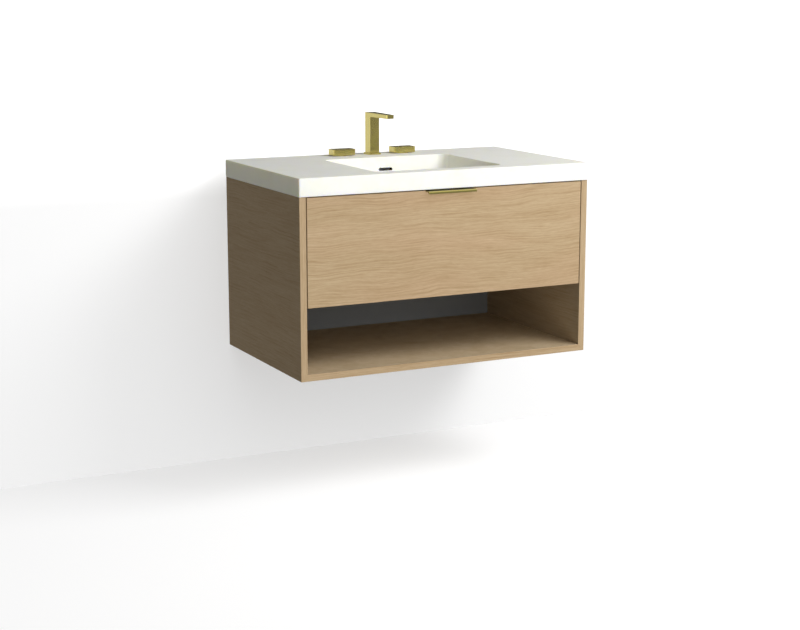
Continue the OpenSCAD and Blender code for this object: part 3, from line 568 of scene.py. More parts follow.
class Piece:
    """One mesh under construction."""

    def __init__(self, name: str) -> None:
        """Start an empty mesh."""
        self.name = name
        self.mesh = bmesh.new()

    @classmethod
    def copy_of(cls, node: str, name: str = "") -> "Piece":
        """Start from a merged copy of a CAD node.

        Args:
            node: The node to copy.
            name: Name of the new piece, or nothing to derive it from the node.

        Returns:
            The new piece.
        """
        piece = cls(name or f"{node}_finished")
        mesh = piece.mesh
        mesh.from_mesh(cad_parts[node].data)
        bmesh.ops.remove_doubles(mesh, verts=mesh.verts, dist=MERGE)
        bmesh.ops.dissolve_limit(mesh, angle_limit=FLAT, verts=mesh.verts, edges=mesh.edges)
        return piece

    def add_box(self, low: Vector, high: Vector) -> "Piece":
        """Add a box.

        Args:
            low: Its lowest corner.
            high: Its highest corner.

        Returns:
            The piece itself.
        """
        matrix = Matrix.Translation((low + high) / 2) @ Matrix.Diagonal((*(high - low), 1.0))
        bmesh.ops.create_cube(self.mesh, size=1.0, matrix=matrix)
        return self

    def add_rod(self, centre: Vector, radius: float, length: float, steps: int = 64) -> "Piece":
        """Add an upright cylinder.

        Args:
            centre: Its middle.
            radius: Its radius.
            length: Its length.
            steps: Facets round it.

        Returns:
            The piece itself.
        """
        bmesh.ops.create_cone(
            self.mesh, cap_ends=True, segments=steps, radius1=radius, radius2=radius, depth=length,
            matrix=Matrix.Translation(centre),
        )
        return self

    def add_section(self, outline: Sequence[tuple[float, float]], low: float, high: float) -> None:
        """Stretch an outline along X.

        Args:
            outline: Its corners as (y, z), in order.
            low: Where it starts.
            high: Where it ends.
        """
        mesh = self.mesh
        section = mesh.faces.new([mesh.verts.new((low, y, z)) for y, z in outline])
        pushed = bmesh.ops.extrude_face_region(mesh, geom=[section])["geom"]
        far = [item for item in pushed if isinstance(item, bmesh.types.BMVert)]
        bmesh.ops.translate(mesh, verts=far, vec=(high - low, 0, 0))
        bmesh.ops.recalc_face_normals(mesh, faces=mesh.faces)

    def add_lathe(
        self, outline: Sequence[tuple[float, float]], centre: Vector, steps: int = 64
    ) -> None:
        """Spin an outline round the upright line through a point.

        Args:
            outline: Its points as (radius, height), from the axis out and back to it.
            centre: Point on the axis, at height zero of the outline.
            steps: Facets round the turn.
        """
        mesh = self.mesh
        points = [mesh.verts.new(centre + Vector((radius, 0.0, z))) for radius, z in outline]
        edges = [mesh.edges.new(pair) for pair in zip(points, points[1:])]
        bmesh.ops.spin(
            mesh, geom=points + edges, cent=centre, axis=(0, 0, 1), angle=math.tau, steps=steps,
            use_merge=True,
        )
        bmesh.ops.remove_doubles(mesh, verts=mesh.verts, dist=MERGE)

    def add_thread(
        self, centre: Vector, radius: float, low: float, high: float, pitch: float
    ) -> None:
        """Wind a V-shaped thread round an upright cylinder.

        Args:
            centre: Point on the axis.
            radius: Radius of the thread's crest.
            low: Height at which it starts.
            high: Height at which it ends.
            pitch: Rise for each turn.
        """
        facets = 32
        height, sunk = 0.55 * pitch, 0.3 * pitch
        root = radius - height - sunk
        turns = (high - low - pitch) / pitch
        steps = int(facets * turns)
        points = [
            self.mesh.verts.new(Vector((centre.x + r, centre.y, low + (0.5 + share) * pitch)))
            for r, share in ((root, -0.5), (radius, 0.0), (root, 0.5))
        ]
        start = self.mesh.faces.new(points)
        bmesh.ops.spin(
            self.mesh, geom=[start, *start.edges, *points], cent=centre, axis=(0, 0, 1),
            dvec=Vector((0, 0, turns * pitch / steps)), angle=math.tau * turns, steps=steps,
        )

    def soften(
        self, width: float, segments: int = 2, shortest: float = 0.0, angle: float = SHARP,
        only: Optional[Callable[[bmesh.types.BMEdge], bool]] = None,
    ) -> "Piece":
        """Round the sharp edges.

        Args:
            width: Width of the rounding on each face.
            segments: Facets across the rounding.
            shortest: Edges under this length stay sharp.
            angle: Edges flatter than this stay as they are.
            only: A further test that an edge has to pass.

        Returns:
            The piece itself.
        """
        edges = [
            edge for edge in self.mesh.edges
            if len(edge.link_faces) == 2 and edge.calc_face_angle(0.0) > angle
            and edge.calc_length() > shortest and (only is None or only(edge))
        ]
        bmesh.ops.bevel(
            self.mesh, geom=edges, offset=width, offset_type="OFFSET", segments=segments,
            profile=0.5, affect="EDGES", clamp_overlap=False, material=-1,
        )
        return self

    def paint(self, index: int, test: Callable[[bmesh.types.BMFace], bool]) -> "Piece":
        """Give some faces another of the piece's materials.

        Args:
            index: Number of the material.
            test: Whether a face gets it.

        Returns:
            The piece itself.
        """
        self.mesh.normal_update()
        for face in self.mesh.faces:
            if test(face):
                face.material_index = index
        return self

    def solid(self) -> bpy.types.Object:
        """Turn the mesh into an object with its faces outwards."""
        bmesh.ops.recalc_face_normals(self.mesh, faces=self.mesh.faces)
        return use_up(self.name, self.mesh)


def bake(piece: bpy.types.Object) -> None:
    """Turn what an object's modifiers make into its mesh.

    Args:
        piece: The object.
    """
    depsgraph = bpy.context.evaluated_depsgraph_get()
    data = bpy.data.meshes.new_from_object(piece.evaluated_get(depsgraph))
    piece.modifiers.clear()
    old, piece.data = piece.data, data
    bpy.data.meshes.remove(old)
    data.name = piece.name


def smooth(piece: bpy.types.Object) -> None:
    """Shade an object smoothly, with its sharp edges kept and its large faces flat.

    Args:
        piece: The object.
    """
    piece.data.shade_smooth()
    piece.data.set_sharp_from_angle(angle=SHARP)
    modifier = piece.modifiers.new("flatten", "WEIGHTED_NORMAL")
    modifier.mode = "FACE_AREA"
    modifier.weight = 100
    modifier.keep_sharp = True
    bake(piece)


def cut(piece: bpy.types.Object, *tools: bpy.types.Object) -> None:
    """Cut tools out of an object.

    Args:
        piece: The object.
        *tools: What is cut out of it and thrown away.
    """
    for tool in tools:
        modifier = piece.modifiers.new("cut", "BOOLEAN")
        modifier.operation = "DIFFERENCE"
        modifier.solver = "EXACT"
        modifier.object = tool
        bake(piece)
        bpy.data.objects.remove(tool)
    smooth(piece)


def seat(node: str, above: float, steps: int, play: float = 0.1 * MM) -> bpy.types.Object:
    """Make the tool that cuts a seat for an upright round node.

    Args:
        node: The node that goes in.
        above: How far the seat reaches above it.
        steps: Facets round the seat.
        play: Room round the node.

    Returns:
        The tool.
    """
    low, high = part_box(node)
    length = 20 * MM
    middle = (low + high) / 2
    middle.z = high.z + above - length / 2
    return Piece("seat").add_rod(middle, (high.x - low.x) / 2 + play, length, steps).solid()


@dataclass
class Assembly:
    """A part of the vanity, whose pieces take their finishes from one palette."""

    palette: Palette

    def build(self) -> None:
        """Make the pieces."""
        raise NotImplementedError

    def finish(
        self, piece: Piece, finishes: str, node: str, body: str = "cabinet"
    ) -> bpy.types.Object:
        """Turn a mesh into an object that rides on a body.

        Args:
            piece: The mesh.
            finishes: Names of its finishes by index, with spaces between them.
            node: The CAD node that it stands for.
            body: The CAD body that carries it.

        Returns:
            The object.
        """
        made = piece.solid()
        names = finishes.split()
        for name in names:
            made.data.materials.append(self.palette.material[name])
        smooth(made)
        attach(made, body)
        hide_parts(node)
        LOG.info("%s: %d faces on %s", made.name, len(made.data.polygons), body)
        return made

    def dress(
        self, nodes: str, finish: str, *rounding: float, body: str = "cabinet", name: str = ""
    ) -> None:
        """Keep nodes as the CAD has them, but for soft edges and a finish.

        Args:
            nodes: Names of the nodes, with spaces between them.
            finish: Name of the finish.
            *rounding: What Piece.soften takes, or nothing for edges that stay sharp.
            body: The CAD body that carries them.
            name: Name of the piece, or nothing to derive it from the node.
        """
        for node in nodes.split():
            piece = Piece.copy_of(node, name)
            if rounding:
                piece.soften(*rounding)
            self.finish(piece, finish, node, body)


class Loft:
    """A surface drawn through rings that all have the same points."""

    def __init__(self, piece: Piece, ring: Ring, arc_points: int = 10) -> None:
        """Start a surface at a ring.

        Args:
            piece: The piece that it is added to.
            ring: The first ring.
            arc_points: Points on each corner's arc.
        """
        self.mesh = piece.mesh
        self.ring = ring
        step = math.tau / (4 * arc_points)
        made = bmesh.ops.create_circle(
            self.mesh, radius=ring.corner / math.cos(step / 2), segments=4 * arc_points,
            cap_ends=False, matrix=Matrix.Rotation(step / 2, 4, "Z"),
        )
        self.points = made["verts"]
        self.edges = list({edge for point in self.points for edge in point.link_edges})
        self._move(Ring(0.0, 0.0, ring.corner, ring.corner, ring.corner, 0.0), ring)

    def _move(self, old: Ring, new: Ring) -> None:
        """Carry the points from ring to ring, a corner at a time.

        Args:
            old: The ring that they are on.
            new: The ring that they go to.
        """
        corners = {(x, y): [] for x in (-1, 1) for y in (-1, 1)}
        for point in self.points:
            x, y, _ = point.co
            corners[(1 if x > old.x else -1, 1 if y > old.y else -1)].append(point)
        for (side_x, side_y), points in corners.items():
            matrix = (
                Matrix.Translation(new.corner_at(side_x, side_y))
                @ Matrix.Scale(new.corner / old.corner, 4)
                @ Matrix.Translation(-old.corner_at(side_x, side_y))
            )
            bmesh.ops.transform(self.mesh, matrix=matrix, verts=points)

    def to(self, *rings: Ring) -> "Loft":
        """Extrude the open edge.

        Args:
            *rings: The rings that it goes through.

        Returns:
            The surface itself.
        """
        for ring in rings:
            made = bmesh.ops.extrude_edge_only(self.mesh, edges=self.edges)["geom"]
            self.points = [item for item in made if isinstance(item, bmesh.types.BMVert)]
            fresh = set(self.points)
            self.edges = [
                item for item in made
                if isinstance(item, bmesh.types.BMEdge) and all(v in fresh for v in item.verts)
            ]
            self._move(self.ring, ring)
            self.ring = ring
        return self


def quarter(steps: int, first: int = 0) -> Iterator[tuple[float, float]]:
    """Go along a quarter turn.

    Args:
        steps: Steps in the whole quarter.
        first: The step to start at.

    Yields:
        1 minus the cosine and 1 minus the sine of each step's angle.
    """
    for step in range(first, steps + 1):
        angle = math.pi / 2 * step / steps
        yield 1 - math.cos(angle), 1 - math.sin(angle)


# ---- The cast top


@dataclass
class CastTop(Assembly):
    """White top with its own basin, overflow and three tap holes."""

    thickness: float = 50.8 * MM
    deck: float = 15 * MM
    edge: float = 30 * MM  # width of the solid edge along the front and sides
    rear_edge: float = 19 * MM  # depth of the pocket's rear wall
    pocket_corner: float = 3 * MM
    basin_width: float = 406 * MM
    front_ledge: float = 53.5 * MM  # ledge in front of the basin
    rear_ledge: float = 140 * MM  # ledge behind it, which carries the tap
    depth: float = 115 * MM  # depth of the basin at the foot of its walls
    fall: float = 4 * MM  # fall of the floor to the drain
    corner: float = 28 * MM  # radius of the upright corners
    foot: float = 26 * MM  # radius between walls and floor
    draft: float = math.radians(5)  # slope of the walls
    wall: float = 12 * MM
    softness: float = 1.4 * MM  # radius of the outer edges
    outer_corner: float = 3.08 * MM  # radius of the outer upright edges
    under_softness: float = 0.6 * MM  # bevel along the lower edges
    rim_softness: float = 1.6 * MM
    drain_behind: float = 150 * MM  # distance from the rear rim to the drain
    drain_radius: float = 22.5 * MM
    recess_radius: float = 31.1 * MM  # radius of the recess for the drain's flange
    recess_depth: float = 3 * MM
    slot_width: float = 45 * MM
    slot_height: float = 9 * MM
    slot_drop: float = 37 * MM  # depth of the slot's middle below the deck
    slot_reach: float = 1.3  # how far the slot goes past the rim, in thicknesses of the basin
    spout_hole: float = 17.5 * MM
    valve_hole: float = 14.5 * MM  # radius of a handle's hole
    end_reach: float = 2 * MM  # how far inwards the painted warm shade of the two ends goes
    end_facing: float = 0.7  # cosine over which a face there looks sideways
    low: Vector = field(init=False)
    high: Vector = field(init=False)

    def __post_init__(self) -> None:
        """Read the top's place from the frame."""
        self.low, self.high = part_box("vanity_top")

    @property
    def drain_y(self) -> float:
        """Place of the drain."""
        return -self.rear_ledge - self.drain_behind

    @property
    def floor_z(self) -> float:
        """Height of the floor at the drain."""
        return self.high.z - self.depth - self.fall

    def basin_ring(self, inset: float, grow: float, drop: float) -> Ring:
        """Return the basin's outline at a depth.

        Args:
            inset: How far the inside stands in from the rim.
            grow: Thickness added outside.
            drop: Depth below the deck.

        Returns:
            The ring.
        """
        front, back = self.low.y + self.front_ledge, -self.rear_ledge
        more = grow - inset
        half_x, half_y = self.basin_width / 2 + more, (back - front) / 2 + more
        z = self.high.z - drop
        return Ring(0.0, (front + back) / 2, half_x, half_y, self.corner + grow, z)

    def drain_ring(self, radius: float, z: float) -> Ring:
        """Return a circle round the drain."""
        return Ring(0.0, self.drain_y, radius, radius, radius, z)

    def foot_rings(self, grow: float, foot: float, depth: float, steps: int) -> list[Ring]:
        """Return the rings of the round foot.

        Args:
            grow: Thickness added outside.
            foot: Radius of the foot.
            depth: Depth of its lowest ring.
            steps: Facets across it.

        Returns:
            The rings, from the straight wall down to the floor.
        """
        drawn_in = (depth - foot) * math.tan(self.draft)
        return [
            self.basin_ring(drawn_in + foot * off_cosine, grow, depth - foot * off_sine)
            for off_cosine, off_sine in quarter(steps)
        ]

    def outer_ring(self, inset: float, z: float) -> Ring:
        """Return the outline of the whole top, drawn in by an inset."""
        mid, half = (self.low + self.high) / 2, (self.high - self.low) / 2
        return Ring(mid.x, mid.y, half.x - inset, half.y - inset, self.outer_corner - inset, z)

    def pocket_ring(self, z: float) -> Ring:
        """Return the outline of the pocket under the deck.

        Args:
            z: Its height.

        Returns:
            The ring.
        """
        front, back = self.low.y + self.edge, -self.rear_edge
        half_x = self.high.x - self.edge
        return Ring(0.0, (front + back) / 2, half_x, (back - front) / 2, self.pocket_corner, z)

    def body(self) -> Piece:
        """Draw the whole surface, from the drain up, over the deck and back underneath.

        Returns:
            The mesh.
        """
        piece = Piece("cast_top")
        z_deck, z_low = self.high.z, self.high.z - self.thickness
        under_z = self.floor_z - self.wall
        recess_z = self.floor_z - self.recess_depth
        start = self.drain_ring(self.drain_radius, under_z)
        sill = self.drain_ring(self.recess_radius, self.floor_z)
        floor = self.foot_rings(0.0, self.foot, self.depth, 8)[::-1]
        rim, soft = self.rim_softness, self.softness
        shell_depth = self.depth + self.fall + self.wall
        loft = Loft(piece, start)
        loft.to(self.drain_ring(self.drain_radius, recess_z))
        loft.to(self.drain_ring(self.recess_radius, recess_z), sill)
        loft.to(*(sill.towards(floor[0], share) for share in (0.25, 0.5, 0.75)), *floor)
        loft.to(*(self.basin_ring(-rim * c, 0.0, rim * s) for c, s in quarter(4, 1)))
        loft.to(*(self.outer_ring(soft * s, z_deck - soft * c) for c, s in quarter(3)))
        loft.to(self.outer_ring(0.0, z_low + self.under_softness))
        loft.to(self.outer_ring(self.under_softness, z_low))
        loft.to(self.pocket_ring(z_low), self.pocket_ring(z_deck - self.deck))
        loft.to(self.basin_ring(self.deck * math.tan(self.draft), self.wall, self.deck))
        loft.to(*self.foot_rings(self.wall, self.foot + self.wall, shell_depth, 6))
        loft.to(self.drain_ring(self.recess_radius, under_z), start)
        bmesh.ops.remove_doubles(piece.mesh, verts=piece.mesh.verts, dist=MERGE)
        return piece

    def slot_tool(self) -> bpy.types.Object:
        """Make the tool that cuts the overflow slot.

        Returns:
            The tool.
        """
        rim = -self.rear_ledge
        middle = Vector((0.0, rim, self.high.z - self.slot_drop))
        half = Vector((self.slot_width / 2, 0.0, self.slot_height / 2))
        near, far = Vector((0.0, -self.foot, 0.0)), Vector((0.0, self.slot_reach * self.wall, 0.0))
        piece = Piece("slot_tool").add_box(middle - half + near, middle + half + far)
        return piece.soften(half.z - 0.05 * MM, 8, only=runs_along(1)).solid()

    def drill(self, x: float, radius: float) -> bpy.types.Object:
        """Make the tool that drills one tap hole."""
        centre = Vector((x, -Tap.from_wall, self.high.z))
        return Piece("drill").add_rod(centre, radius, 4 * self.deck).solid()

    def is_end(self, face: bmesh.types.BMFace) -> bool:
        """Tell whether a face is on one of the top's two ends."""
        outside = abs(face.calc_center_median().x) > self.high.x - self.end_reach
        return outside and abs(face.normal.x) > self.end_facing

    def build(self) -> None:
        """Make the top, its overflow duct and the black sleeve in the slot."""
        # The two ends get the copy of the white with the painted warm shade.
        body = self.body().paint(1, self.is_end)
        top = self.finish(body, "cast_white cast_end", "vanity_top")
        valves = [self.drill(side * Tap.spread / 2, self.valve_hole) for side in SIDES.values()]
        cut(top, self.slot_tool(), self.drill(0.0, self.spout_hole), *valves)
        self.dress("overflow_duct", "cast_white", MM, 2, 8 * MM)
        liner = (0.3 * MM, 1, 2 * MM)
        self.dress("overflow_liner", "black_plastic", *liner, name="overflow_sleeve")


# ---- Drain


@dataclass
class Waste(Assembly):
    """Drain flange, stopper, gasket, nut and tailpiece."""

    top: CastTop
    thread: float = 19.05 * MM  # radius of the body's thread
    pitch: float = 1.5 * MM
    # Outline of the stopper's cap, as share of its radius and drop from its top in mm
    dome: tuple[tuple[float, float], ...] = (
        (0.0, 0.0), (0.3, 0.1), (0.6, 0.6), (0.85, 1.6), (0.96, 2.6), (1.0, 3.6)
    )
    # The cap's lower edge, as inset from its radius and height over the floor in mm
    lip: tuple[tuple[float, float], ...] = ((0.0, 0.5), (0.3, 0.3))
    pin: float = 4 * MM
    pin_bevel: float = 0.5 * MM  # bevel at the pin's end

    def centre(self, z: float) -> Vector:
        """Return the point of the drain's axis at a height."""
        return Vector((0.0, self.top.drain_y, z))

    def flange(self) -> None:
        """Make the drain's threaded body."""
        piece = Piece.copy_of("drain_flange", "drain_body")
        ends = (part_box("drain_flange")[0].z + MM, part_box("overflow_duct")[0].z)
        piece.add_thread(self.centre(0.0), self.thread, *ends, self.pitch)
        self.finish(piece, "satin_brass", "drain_flange")

    def stopper(self) -> None:
        """Spin the stopper's cap and pin."""
        low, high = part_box("stopper")
        cap, floor = (high.x - low.x) / 2, self.top.floor_z
        rise, keel = high.z - floor, low.z - floor
        outline = [(share * cap, rise - drop * MM) for share, drop in self.dome]
        outline += [(cap - inset * MM, height * MM) for inset, height in self.lip]
        outline += [
            (self.pin, outline[-1][1]), (self.pin, keel + self.pin_bevel),
            (self.pin - self.pin_bevel, keel), (0.0, keel),
        ]
        piece = Piece("drain_stopper")
        piece.add_lathe(outline, self.centre(floor))
        self.finish(piece, "satin_brass", "stopper", "stopper")

    def build(self) -> None:
        """Make the pieces."""
        self.flange()
        self.stopper()
        self.dress("drain_gasket", "grey_rubber", 0.6 * MM)
        self.dress("drain_nut", "raw_brass", 0.6 * MM, 2, 4 * MM)
        self.dress("tailpiece", "satin_brass", name="waste_tail")


# ---- Tap


@dataclass
class Tap(Assembly):
    """Widespread tap: square spout, two lever blocks and what is under the deck."""

    spread: float = 203.2 * MM  # distance between the two handles
    from_wall: float = 50.5 * MM  # distance from the wall to the tap's middle line
    column_width: float = 31 * MM
    column_depth: float = 35 * MM
    arm: float = 12.5 * MM  # height of the arm at the column
    tip: float = 11.5 * MM
    tip_width: float = 24 * MM
    tip_corner: float = 3 * MM
    handle_corner: float = 4 * MM  # radius of a handle's upright edges
    softness: float = 0.7 * MM  # rounding of all other edges
    shank_pitch: float = 1.5 * MM  # pitch of the thread on the spout's shank
    shank_start: float = 2 * MM  # height of that thread over the shank's end
    shank_stop: float = 14 * MM  # depth of its end below the deck
    valve_thread: float = 10.5 * MM  # radius of a valve's thread
    valve_pitch: float = 1.8 * MM
    valve_start: float = 1 * MM  # height of that thread over the valve's end
    valve_stop: float = 16 * MM  # height of its end

    def spout(self) -> None:
        """Stretch the side outline, narrow its tip, round its edges and seat the aerator."""
        low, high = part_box("spout")
        half = self.column_width / 2
        y_back = -self.from_wall + self.column_depth / 2
        y_face = -self.from_wall - self.column_depth / 2
        y_end = low.y + MM
        outline = [
            (y_back, low.z), (y_face, low.z), (y_face, high.z - self.arm),
            (low.y, high.z - self.tip), (low.y, high.z), (y_face, high.z), (y_back, high.z),
        ]
        piece = Piece("spout_finished")
        piece.add_section(outline, -half, half)
        end = [point for point in piece.mesh.verts if point.co.y < y_end]
        narrow = (self.tip_width / self.column_width, 1, 1)
        bmesh.ops.scale(piece.mesh, verts=end, vec=narrow)

        def is_tip_corner(edge: bmesh.types.BMEdge) -> bool:
            """Tell whether an edge is an upright one at the tip."""
            one, other = (point.co for point in edge.verts)
            return one.y < y_end and other.y < y_end and one.x * other.x > 0

        piece.soften(self.tip_corner, 4, only=is_tip_corner)
        piece.soften(self.softness, 3)
        cut(self.finish(piece, "satin_brass", "spout"), seat("aerator", 1.5 * MM, 64))

    def handle(self, side: str) -> None:
        """Make one lever block with its stem.

        Args:
            side: Its side, left or right.
        """
        node, stem, body = f"handle_{side}", f"stem_{side}", f"lever_{side}"
        piece = Piece(f"{node}_finished").add_box(*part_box(node))
        piece.soften(self.handle_corner, 8, only=runs_along(2))
        piece.soften(self.softness, 3, angle=STEEP)
        cut(self.finish(piece, "satin_brass_x", node, body), seat(stem, 0.1 * MM, 48))
        self.dress(stem, "raw_brass", 0.3 * MM, body=body)

    def under_deck(self) -> None:
        """Make plates, aerator, shank, nuts, tee, tubes and valves."""
        self.dress("tap_plates", "satin_brass_x", 0.5 * MM)
        self.dress("aerator", "zinc_plate", 0.2 * MM, 1, 0.0, STEEP)
        shank = Piece.copy_of("spout_shank")
        low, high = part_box("spout_shank")
        radius = (high.x - low.x) / 2 + 0.05 * MM
        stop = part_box("vanity_top")[1].z - self.shank_stop
        axis = Vector((0.0, -self.from_wall, 0.0))
        shank.add_thread(axis, radius, low.z + self.shank_start, stop, self.shank_pitch)
        self.finish(shank, "raw_brass", "spout_shank")
        self.dress("tap_nuts tube_nuts", "raw_brass", 0.5 * MM, 2, 4 * MM)
        self.dress("supply_tee", "raw_brass")
        self.dress("cross_tubes", "zinc_plate")
        for name, side in SIDES.items():
            valve = Piece.copy_of(f"valve_{name}")
            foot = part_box(f"valve_{name}")[0].z
            axis = Vector((side * self.spread / 2, -self.from_wall, 0.0))
            ends = (foot + self.valve_start, foot + self.valve_stop)
            valve.add_thread(axis, self.valve_thread, *ends, self.valve_pitch)
            self.finish(valve, "raw_brass", f"valve_{name}")

    def build(self) -> None:
        """Make the whole tap."""
        self.spout()
        for side in SIDES:
            self.handle(side)
        self.under_deck()


# ---- Cabinet


@dataclass
class Carcass(Assembly):
    """Sides, bottom, divider, back, rails and their joinery."""

    softness: float = 0.35 * MM  # rounding of the boards' edges
    shortest: float = 15 * MM  # edges under this length stay sharp
    band: float = 0.8 * MM  # depth of the edge banding
    outer: float = 450 * MM  # distance from the middle beyond which a face is on the outside

    def is_outside(self, face: bmesh.types.BMFace) -> bool:
        """Tell whether a face is on the outside of the cabinet."""
        return abs(face.calc_center_median().x) > self.outer and abs(face.normal.x) > ALIGNED

    def board(self, node: str, face: str, band: str) -> None:
        """Make a veneered board with banding on its front edge.

        Args:
            node: The CAD node.
            face: Finish of its faces.
            band: Finish of its front edge.
        """
        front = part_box(node)[0].y + self.band
        piece = Piece.copy_of(node).soften(self.softness, 2, self.shortest)
        # The outer faces of the sides get the darker copy of the oak, which is painted shade.
        piece.paint(2, self.is_outside)
        piece.paint(1, lambda made: made.calc_center_median().y < front)
        self.finish(piece, f"{face} {band} oak_side", node)

    def build(self) -> None:
        """Make the pieces of the carcass."""
        for side in SIDES:
            self.board(f"side_panel_{side}", "oak_inside", "oak_band_z")
        for node in ("bottom_panel", "shelf_divider"):
            self.board(node, "oak_shelf", "oak_band_x")
        # The back board's grey is partly painted shade.
        self.dress("back_panel", "grey_laminate")
        rails = "hanging_rail lower_rail front_rail corner_blocks"
        self.dress(rails, "birch_x", self.softness, 2, self.shortest)
        self.dress("mitre_splines", "birch_y")
        self.dress("carcass_dowels", "birch_x")
        self.dress("cam_posts cam_locks", "screw_zinc")
        self.dress("bumper_pads", "clear_pad", 0.4 * MM)


# ---- Drawer


@dataclass
class Drawer(Assembly):
    """Drawer front, its edge pull and the dovetailed box."""

    softness: float = 0.4 * MM  # rounding of the front's edges
    shortest: float = 15 * MM  # edges of the front under this length stay sharp
    box_softness: float = 0.5 * MM
    box_shortest: float = 14 * MM  # edges of the box under this length stay sharp
    pull_nose: float = 5 * MM
    pull_plate: float = 3 * MM
    pull_hollow: float = 5 * MM  # radius of the hollow behind the nose
    pull_bevel: float = 3 * MM  # bevel along the upper front edge of the nose
    pull_softness: float = 0.4 * MM

    def front(self) -> None:
        """Make the drawer front, with banding on its two ends."""
        piece = Piece.copy_of("drawer_front").soften(self.softness, 2, self.shortest)
        piece.paint(1, lambda face: abs(face.normal.x) > ALIGNED)
        self.finish(piece, "oak_front oak_band_z", "drawer_front", "drawer")

    def pull(self) -> None:
        """Stretch the pull's section along X and round its edges; it casts no shadow."""
        low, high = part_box("edge_pull")
        nose = low.y + self.pull_nose
        z_plate = high.z - self.pull_plate
        outline = [
            (low.y + self.pull_bevel, high.z), (low.y, high.z - self.pull_bevel), (low.y, low.z),
            (nose, low.z), (nose, z_plate), (high.y, z_plate), (high.y, high.z),
        ]
        piece = Piece("edge_pull_finished")
        piece.add_section(outline, low.x, high.x)

        def is_hollow(edge: bmesh.types.BMEdge) -> bool:
            """Tell whether an edge is the one between the nose and the plate."""
            places = [point.co for point in edge.verts]
            return all(abs(p.y - nose) < MERGE and abs(p.z - z_plate) < MERGE for p in places)

        piece.soften(self.pull_hollow, 8, only=is_hollow)
        piece.soften(self.pull_softness, 3, angle=STEEP)
        # Painted shade: the top and the two ends get the dark copy of the brass, the nose and
        # underside the polished brass.
        piece.paint(1, lambda face: face.normal.z > ALIGNED or abs(face.normal.x) > ALIGNED)
        made = self.finish(piece, "polished_brass dark_brass", "edge_pull", "drawer")
        made.visible_shadow = False

    def build(self) -> None:
        """Make the drawer."""
        self.front()
        self.pull()
        across = "box_front box_back_left box_back_right well_front"
        lengthwise = "box_side_left box_side_right well_side_left well_side_right"
        rounding = (self.box_softness, 2, self.box_shortest)
        self.dress(across, "birch_x", *rounding, body="drawer")
        self.dress(lengthwise, "birch_y", *rounding, body="drawer")
        self.dress("box_bottom", "birch_y", body="drawer")
        self.dress("drawer_screws", "screw_zinc", body="drawer")


# ---- Runners


@dataclass
class Runners(Assembly):
    """Ball-bearing runners: three channels and two cages on each side."""


    def build(self) -> None:
        """Make the channels, the cages and their screws."""
        for side in SIDES:
            bodies = {
                f"cabinet_channel_{side}": "cabinet",
                f"middle_channel_{side}": f"middle_runner_{side}",
                f"drawer_channel_{side}": "drawer",
                f"outer_cage_{side}": f"outer_balls_{side}",
                f"inner_cage_{side}": f"inner_balls_{side}",
            }
            for node, body in bodies.items():
                self.dress(node, "zinc_plate", body=body)
        self.dress("channel_screws", "screw_zinc")
        self.dress("drawer_channel_screws", "screw_zinc", body="drawer")


# ---- Studio


def direction(azimuth: float, height: float) -> Vector:
    """Turn two angles into a direction.

    Args:
        azimuth: Angle from -Y towards +X, in degrees.
        height: Angle above the horizon, in degrees.

    Returns:
        The direction.
    """
    turn, climb = math.radians(azimuth), math.radians(height)
    level = math.cos(climb)
    return Vector((level * math.sin(turn), -level * math.cos(turn), math.sin(climb)))


@dataclass(frozen=True)
class SoftLight:
    """A soft patch of light, far away, for matt surfaces."""

    strength: float
    focus: float  # how narrow it is
    turn: float  # its direction, from -Y towards +X, in degrees
    climb: float  # its angle above the horizon, in degrees

    def seen_in(self, graph: Graph, looking: Signal) -> Signal:
        """Return its brightness in a direction."""
        aligned = graph.combine("DOT_PRODUCT", looking, direction(self.turn, self.climb), "Value")
        return ((aligned - 1.0) * self.focus).exponential() * self.strength


class Side(Enum):
    """Where a glossy light is, as an axis and the way along it."""

    LEFT = (0, -1.0)
    FRONT = (1, -1.0)
    ABOVE = (2, 1.0)


@dataclass(frozen=True)
class GlossLight:
    """A light over one side of the room, for shiny surfaces."""

    side: Side
    low: float  # share of the way to that side at which it starts
    high: float  # share at which it is full
    strength: float

    def seen_in(self, axes: Sequence[Signal]) -> Signal:
        """Return its brightness in a direction."""
        axis, way = self.side.value
        return (axes[axis] * way).over(self.low, self.high) * self.strength


@dataclass(frozen=True)
class Backdrop(Finish):
    """A pale one-sided surface that glows for the camera and takes shadows."""

    glow: float  # light that it gives to the camera
    albedo: float  # share of the lamps' light that it throws back
    lift: float = 0.4  # extra light that it gives to the camera above the vanity
    lift_from: float = 0.08  # height at which that begins
    lift_to: float = 0.22  # height at which it is full

    def fill(self, graph: Graph) -> None:
        """Add the nodes.

        Args:
            graph: The material's empty tree.
        """
        seen = graph.node("ShaderNodeLightPath", output="Is Camera Ray")
        behind = graph.node("ShaderNodeNewGeometry", output="Backfacing")
        matt = graph.node("ShaderNodeBsdfDiffuse", inputs={"Color": (self.albedo,) * 3 + (1.0,)})
        height = graph.split(graph.place())[2]
        glow = height.over(self.lift_from, self.lift_to) * self.lift + self.glow
        light = graph.node("ShaderNodeEmission", inputs={"Strength": seen * glow})
        both = graph.node("ShaderNodeAddShader", inputs={0: matt, 1: light})
        clear = graph.node("ShaderNodeBsdfTransparent")
        shown = graph.node("ShaderNodeMixShader", inputs={0: behind, 1: both, 2: clear})
        graph.node("ShaderNodeOutputMaterial", inputs={"Surface": shown})


